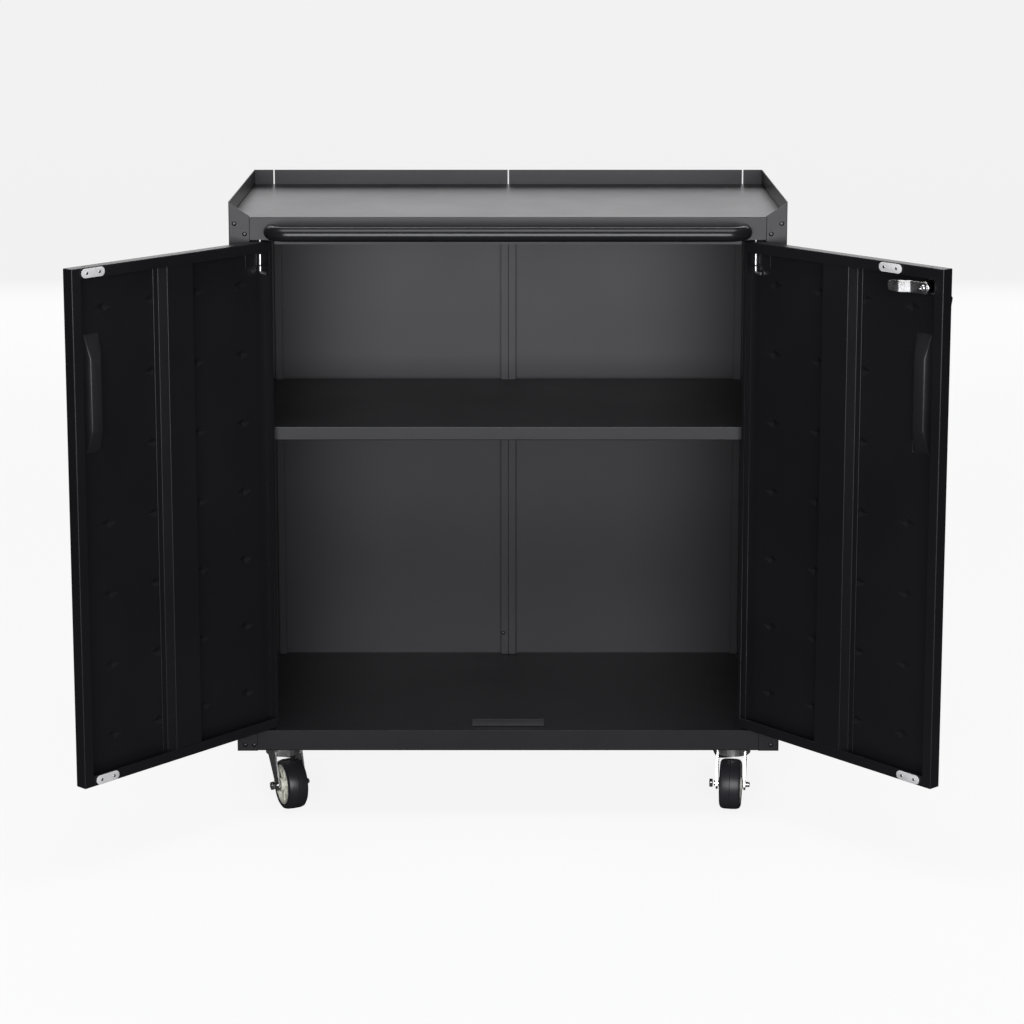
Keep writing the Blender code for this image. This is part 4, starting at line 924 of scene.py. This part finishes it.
def finish_keys(axes, x, z):
    """Key in the lock, split ring and spare key."""
    low, high = local_box("key", axes)
    thick = high[0] - low[0]
    bow = 0.023
    blade = 0.0032
    side_on = axes @ Matrix.Translation((x, 0, 0)) @ Matrix.Rotation(math.radians(-90), 4, "Z")

    def bow_outline(a0, a1, z0, z1, cut):
        pts = []
        pts += arc(a1 - cut, z1 - cut, cut, 90, 0, 5)
        pts += arc(a1 - cut, z0 + cut, cut, 0, -90, 5)
        pts += arc(a0 + cut, z0 + cut, cut, -90, -180, 5)
        pts += arc(a0 + cut, z1 - cut, cut, 180, 90, 5)
        return pts

    def flat_key(a0, a1, z0, z1, hole, blade_to, matrix, plastic_name, steel_name, body, node):
        """Plastic bow with a ring hole, and a steel blade with a milled groove."""
        outline = bow_outline(a0, a1, z0, z1, 0.0035)
        grip = slab(outline, -thick / 2, thick / 2, Matrix.Identity(4), 0.0005)
        host = template(grip)
        drill_mesh = lathe([(0.0, thick), (0.0026, thick), (0.0026, -thick), (0.0, -thick)], 28, closed=False)
        hole_place = Matrix.Translation((hole[0], 0, hole[1]))
        drill_mesh.transform(hole_place @ Matrix.Rotation(math.radians(90), 4, "X"))
        drill = template(drill_mesh)
        cut = host.modifiers.new("hole", "BOOLEAN")
        cut.operation = "DIFFERENCE"
        cut.solver = "EXACT"
        cut.object = drill
        grip = freeze(host)
        bpy.data.objects.remove(drill, do_unlink=True)
        grip.transform(matrix)
        piece(plastic_name, smooth(grip, 35), PLASTIC, body, "black_plastic", node)
        shaft = slab(blade_to, -thick * 0.42, thick * 0.42, matrix, 0.0002, 1)
        piece(steel_name, shaft, CHROME, body, "chrome")

    # in the key's own plane: first axis outwards from the door, second axis up
    flat_key(-low[1] - bow, -low[1], low[2], high[2], (-low[1] - 0.00572, low[2] + 0.00572),
             [(-low[1] - bow, z + blade), (-low[1] - bow, z - blade),
              (-high[1], z - blade), (-high[1], z + blade)],
             side_on, "key_bow", "key_blade", "key", "key")

    ring_low, ring_high = local_box("key_ring", axes)
    radius = (ring_high[0] - ring_low[0]) / 2 - 0.0008
    cz = (ring_high[2] + ring_low[2]) / 2
    cy = (ring_high[1] + ring_low[1]) / 2
    turns = []
    for k in range(97):
        angle = math.tau * 2 * k / 96
        shift = -0.0004 + 0.0008 * k / 96
        around = (x + radius * math.sin(angle), cy + shift, cz + radius * math.cos(angle))
        turns.append((axes @ Vector(around))[:])
    piece("split_ring", swept(turns, 0.0004, 4), CHROME, "key_ring", "chrome", "key_ring")

    tilt = math.radians(14)
    hang = Matrix.Translation((x, cy, cz - radius)) @ Matrix.Rotation(tilt, 4, "X")
    spare = axes @ hang @ Matrix.Rotation(math.radians(-90), 4, "Z")
    left, end = 0.007, 0.0045
    right, foot = left - 0.019, end - 0.023
    mid = (left + right) / 2
    flat_key(-left, -right, foot, end, (0.0, 0.0),
             [(-mid - blade, foot), (-mid + blade, foot),
              (-mid + blade, foot - 0.024), (-mid - blade, foot - 0.024)],
             spare, "spare_key_bow", "spare_key_blade", "key_ring", "spare_key")


finish_lock()


# ---------------------------------------------------------------- casters
def finish_caster(where):
    swivel = JOINTS["swivel_" + where]
    wheel = JOINTS["wheel_" + where]
    sx, sy, _ = swivel["pos_m"]
    wx, wy, wz = wheel["pos_m"]
    across = Vector(wheel["axis"]).normalized()
    plate = eased("caster_plate_" + where, 0.0006, 0.0003)
    piece("caster_plate_sheet_" + where, plate, ZINC, "cabinet", "black_coat", "caster_plate_" + where)
    low, high, mid = extent("caster_plate_" + where)
    under = high.z - 0.0028
    spots = [((mid.x + a * 0.025, mid.y + b * 0.0375, under), (0, 0, -1)) for a in (-1, 1) for b in (-1, 1)]
    fixings("caster_bolts_" + where, spots, hexagon_head(0.0055, 0.0035), ZINC_PIN, "cabinet", "zinc")
    race = [(0.0225, under - 0.001), (0.0262, under - 0.0035), (0.0262, low.z + 0.004),
            (0.0235, low.z + 0.0005), (0.018, low.z), (0.018, under - 0.001)]
    cup = lathe(rounded_profile(race, 0.0014, 4), 56)
    cup.transform(Matrix.Translation((sx, sy, 0)))
    piece("swivel_cup_" + where, cup, ZINC, "cabinet", "zinc")

    ball_radius = 0.0026
    angles = [math.radians(a) for a in range(0, 181, 20)]
    ball = lathe([(ball_radius * math.sin(a), ball_radius * math.cos(a)) for a in angles], 14, closed=False)
    balls = ring_of(ball, 22, 0.0236, CHROME)
    balls.transform(Matrix.Translation((sx, sy, low.z + 0.0018)))
    piece("race_balls_" + where, smooth(balls, 60), CHROME, "cabinet", "chrome")

    yaw = math.atan2(across.y, across.x)
    axes = Matrix.Translation((sx, sy, 0)) @ Matrix.Rotation(yaw, 4, "Z")
    fork = eased("caster_fork_" + where, 0.0, 0.0007)
    piece("caster_fork_sheet_" + where, fork, ZINC, "swivel_" + where, "black_coat", "caster_fork_" + where)

    tyre_low, tyre_high = local_box("caster_tyre_" + where, axes)
    spin_axes = Matrix.Translation((wx, wy, wz)) @ Matrix.Rotation(yaw, 4, "Z")
    spin_axes = spin_axes @ Matrix.Rotation(math.radians(90), 4, "Y")
    half = (tyre_high[0] - tyre_low[0]) / 2
    radius = (tyre_high[2] - tyre_low[2]) / 2
    inner = radius - 0.0075
    crown = [(inner, half - 0.0005), (inner + 0.0025, half), (radius - 0.0045, half - 0.0002),
             (radius - 0.0016, half - 0.0022), (radius - 0.0003, half - 0.0065), (radius, 0.0004),
             (radius - 0.0006, 0.0)]
    outline = crown + [(r, -h) for r, h in reversed(crown[:-1])]
    tyre = lathe(outline, 96)
    tyre.transform(spin_axes)
    piece("tyre_" + where, tyre, TREAD, "wheel_" + where, "tread", "caster_tyre_" + where)

    rim = inner - GAP
    face = half - 0.0012
    boss = 0.0095
    web = half - 0.0055
    flank = [(0.0042, half + 0.0020), (boss - 0.0006, half + 0.0020), (boss, half + 0.0014),
             (boss + 0.0012, web), (rim - 0.0050, web), (rim - 0.0032, face), (rim - 0.0004, face),
             (rim, face - 0.0005)]
    hub = lathe(flank + [(r, -h) for r, h in reversed(flank)], 72)
    rib_work = bmesh.new()
    length = rim - 0.0045 - boss
    for way in (-1, 1):
        bmesh.ops.create_cube(rib_work, size=1.0, matrix=Matrix.Translation((0, 0, way * (web + 0.0009)))
                              @ Matrix.Diagonal((length, 0.0016, 0.0022, 1.0)))
    rib = bpy.data.meshes.new("rib")
    rib_work.to_mesh(rib)
    rib_work.free()
    ribs = ring_of(rib, 8, boss + length / 2 + 0.0008, CREAM)
    whole = join([hub, ribs])
    whole.transform(spin_axes)
    piece("hub_" + where, whole, CREAM, "wheel_" + where, "cream_hub", "caster_hub_" + where)

    axle_low, axle_high = local_box("caster_axle_" + where, axes)
    reach = (axle_high[0] - axle_low[0]) / 2
    nut = hexagon_head(0.0065, 0.0052)
    nut.transform(Matrix.Translation((0, 0, reach - 0.0062)))
    shank = [(0.0, reach), (0.0030, reach - 0.0003), (0.0038, reach - 0.0012), (0.0038, -reach + 0.004),
             (0.0, -reach + 0.004)]
    stub = lathe(shank, 32, closed=False)
    head = hexagon_head(0.0065, 0.0048)
    head.transform(Matrix.Translation((0, 0, -reach + 0.0018)))
    bolt = join([stub, nut, head])
    bolt.transform(spin_axes)
    piece("axle_bolt_" + where, bolt, CHROME, "swivel_" + where, "chrome", "caster_axle_" + where)


for corner in ("front_left", "front_right", "rear_left", "rear_right"):
    finish_caster(corner)


# ---------------------------------------------------------------- studio
def studio_floor():
    """Wide pale floor that sweeps up into a round backdrop."""
    work = bmesh.new()
    flat, bend, top = 7.0, 2.5, 9.0
    profile = [(0.0, 0.0), (flat, 0.0)]
    angles = [math.radians(a) for a in range(6, 91, 6)]
    profile += [(flat + bend * math.sin(a), bend - bend * math.cos(a)) for a in angles]
    profile.append((flat + bend, top))
    verts = [work.verts.new((r, 0.0, z)) for r, z in profile]
    edges = [work.edges.new(pair) for pair in zip(verts, verts[1:])]
    bmesh.ops.spin(work, geom=verts + edges, axis=(0, 0, 1), cent=(0, 0, 0), steps=96, angle=math.tau,
                   use_merge=True)
    bmesh.ops.remove_doubles(work, verts=work.verts, dist=0.0001)
    bmesh.ops.recalc_face_normals(work, faces=work.faces)
    if sum(face.normal.z for face in work.faces) < 0:
        bmesh.ops.reverse_faces(work, faces=work.faces)
    mesh = bpy.data.meshes.new("studio_floor")
    work.to_mesh(mesh)
    work.free()
    mesh.materials.append(paper())
    mesh.shade_smooth()
    floor = bpy.data.objects.new("studio_floor", mesh)
    bpy.context.scene.collection.objects.link(floor)


PAPER_GLOW = 0.87
PAPER_BOUNCE = 0.12


def paper():
    """Pale studio paper: plain white to look at, quieter in reflections and as a bounce."""
    mat, tree, shader = new_material("pale_studio_paper")
    grain = noise(tree, tree.nodes.new("ShaderNodeTexCoord").outputs["Object"], 60.0, 3.0)
    wire(tree, blend_colour(tree, grain, (0.15, 0.15, 0.15), (0.16, 0.16, 0.16)), shader.inputs["Base Color"])
    shader.inputs["Roughness"].default_value = 0.9
    shader.inputs["Specular IOR Level"].default_value = 0.0
    bump(tree, grain, 0.2, 0.0002, shader)
    ray = tree.nodes.new("ShaderNodeLightPath")
    glow = tree.nodes.new("ShaderNodeEmission")
    glow.inputs["Color"].default_value = (PAPER_GLOW, PAPER_GLOW, PAPER_GLOW, 1.0)
    seen = tree.nodes.new("ShaderNodeMixShader")
    dim = tree.nodes.new("ShaderNodeBsdfDiffuse")
    dim.inputs["Color"].default_value = (PAPER_BOUNCE, PAPER_BOUNCE, PAPER_BOUNCE, 1.0)
    both = tree.nodes.new("ShaderNodeAddShader")
    wire(tree, shader.outputs["BSDF"], both.inputs[0])
    wire(tree, glow.outputs["Emission"], both.inputs[1])
    wire(tree, ray.outputs["Is Camera Ray"], seen.inputs["Fac"])
    wire(tree, dim.outputs["BSDF"], seen.inputs[1])
    wire(tree, both.outputs["Shader"], seen.inputs[2])
    wire(tree, seen.outputs["Shader"], tree.nodes["Material Output"].inputs["Surface"])
    return mat


def soft_light(name, place, aim, size, power, tint=(1.0, 1.0, 1.0)):
    data = bpy.data.lights.new(name, "AREA")
    data.shape = "RECTANGLE"
    data.size, data.size_y = size
    data.energy = power
    data.color = tint
    lamp = bpy.data.objects.new(name, data)
    lamp.location = place
    lamp.rotation_euler = (Vector(aim) - Vector(place)).to_track_quat("-Z", "Y").to_euler()
    lamp.visible_camera = False
    bpy.context.scene.collection.objects.link(lamp)


CAMERA_PLACE = (0.0058, -3.9176, 1.4151)
CAMERA_TILT = 0.1654


def studio_camera():
    """A camera in front, a little above the tray and tilted down."""
    data = bpy.data.cameras.new("camera")
    data.sensor_width = 36.0
    data.lens = 95.41
    data.shift_y = -0.2
    data.clip_end = 60.0
    camera = bpy.data.objects.new("camera", data)
    camera.location = CAMERA_PLACE
    camera.rotation_euler = (math.pi / 2 - CAMERA_TILT, 0.0, 0.0)
    bpy.context.scene.collection.objects.link(camera)
    bpy.context.scene.camera = camera


def studio_world():
    """White when looked at, dim as a light."""
    world = bpy.data.worlds.new("studio")
    bpy.context.scene.world = world
    world.use_nodes = True
    tree = world.node_tree
    sky = tree.nodes["Background"]
    ray = tree.nodes.new("ShaderNodeLightPath")
    shade = tree.nodes.new("ShaderNodeMix")
    shade.data_type = "RGBA"
    shade.inputs[6].default_value = (0.055, 0.056, 0.062, 1.0)
    shade.inputs[7].default_value = (0.92, 0.92, 0.92, 1.0)
    wire(tree, ray.outputs["Is Camera Ray"], shade.inputs[0])
    wire(tree, shade.outputs[2], sky.inputs["Color"])


studio_floor()
studio_world()
soft_light("front_wall", (0.0, -4.6, 1.30), (0.0, 0.0, 1.05), (4.2, 2.4), 195.0, (0.96, 0.96, 1.0))
soft_light("overhead", (0.0, -0.6, 3.2), (0.0, 0.0, 0.9), (3.0, 1.6), 40.0)
soft_light("backdrop", (0.0, 5.0, 1.9), (0.0, 0.0, 1.6), (7.0, 3.0), 120.0, (0.99, 0.98, 1.0))
studio_camera()
bpy.context.scene.view_settings.view_transform = "Standard"
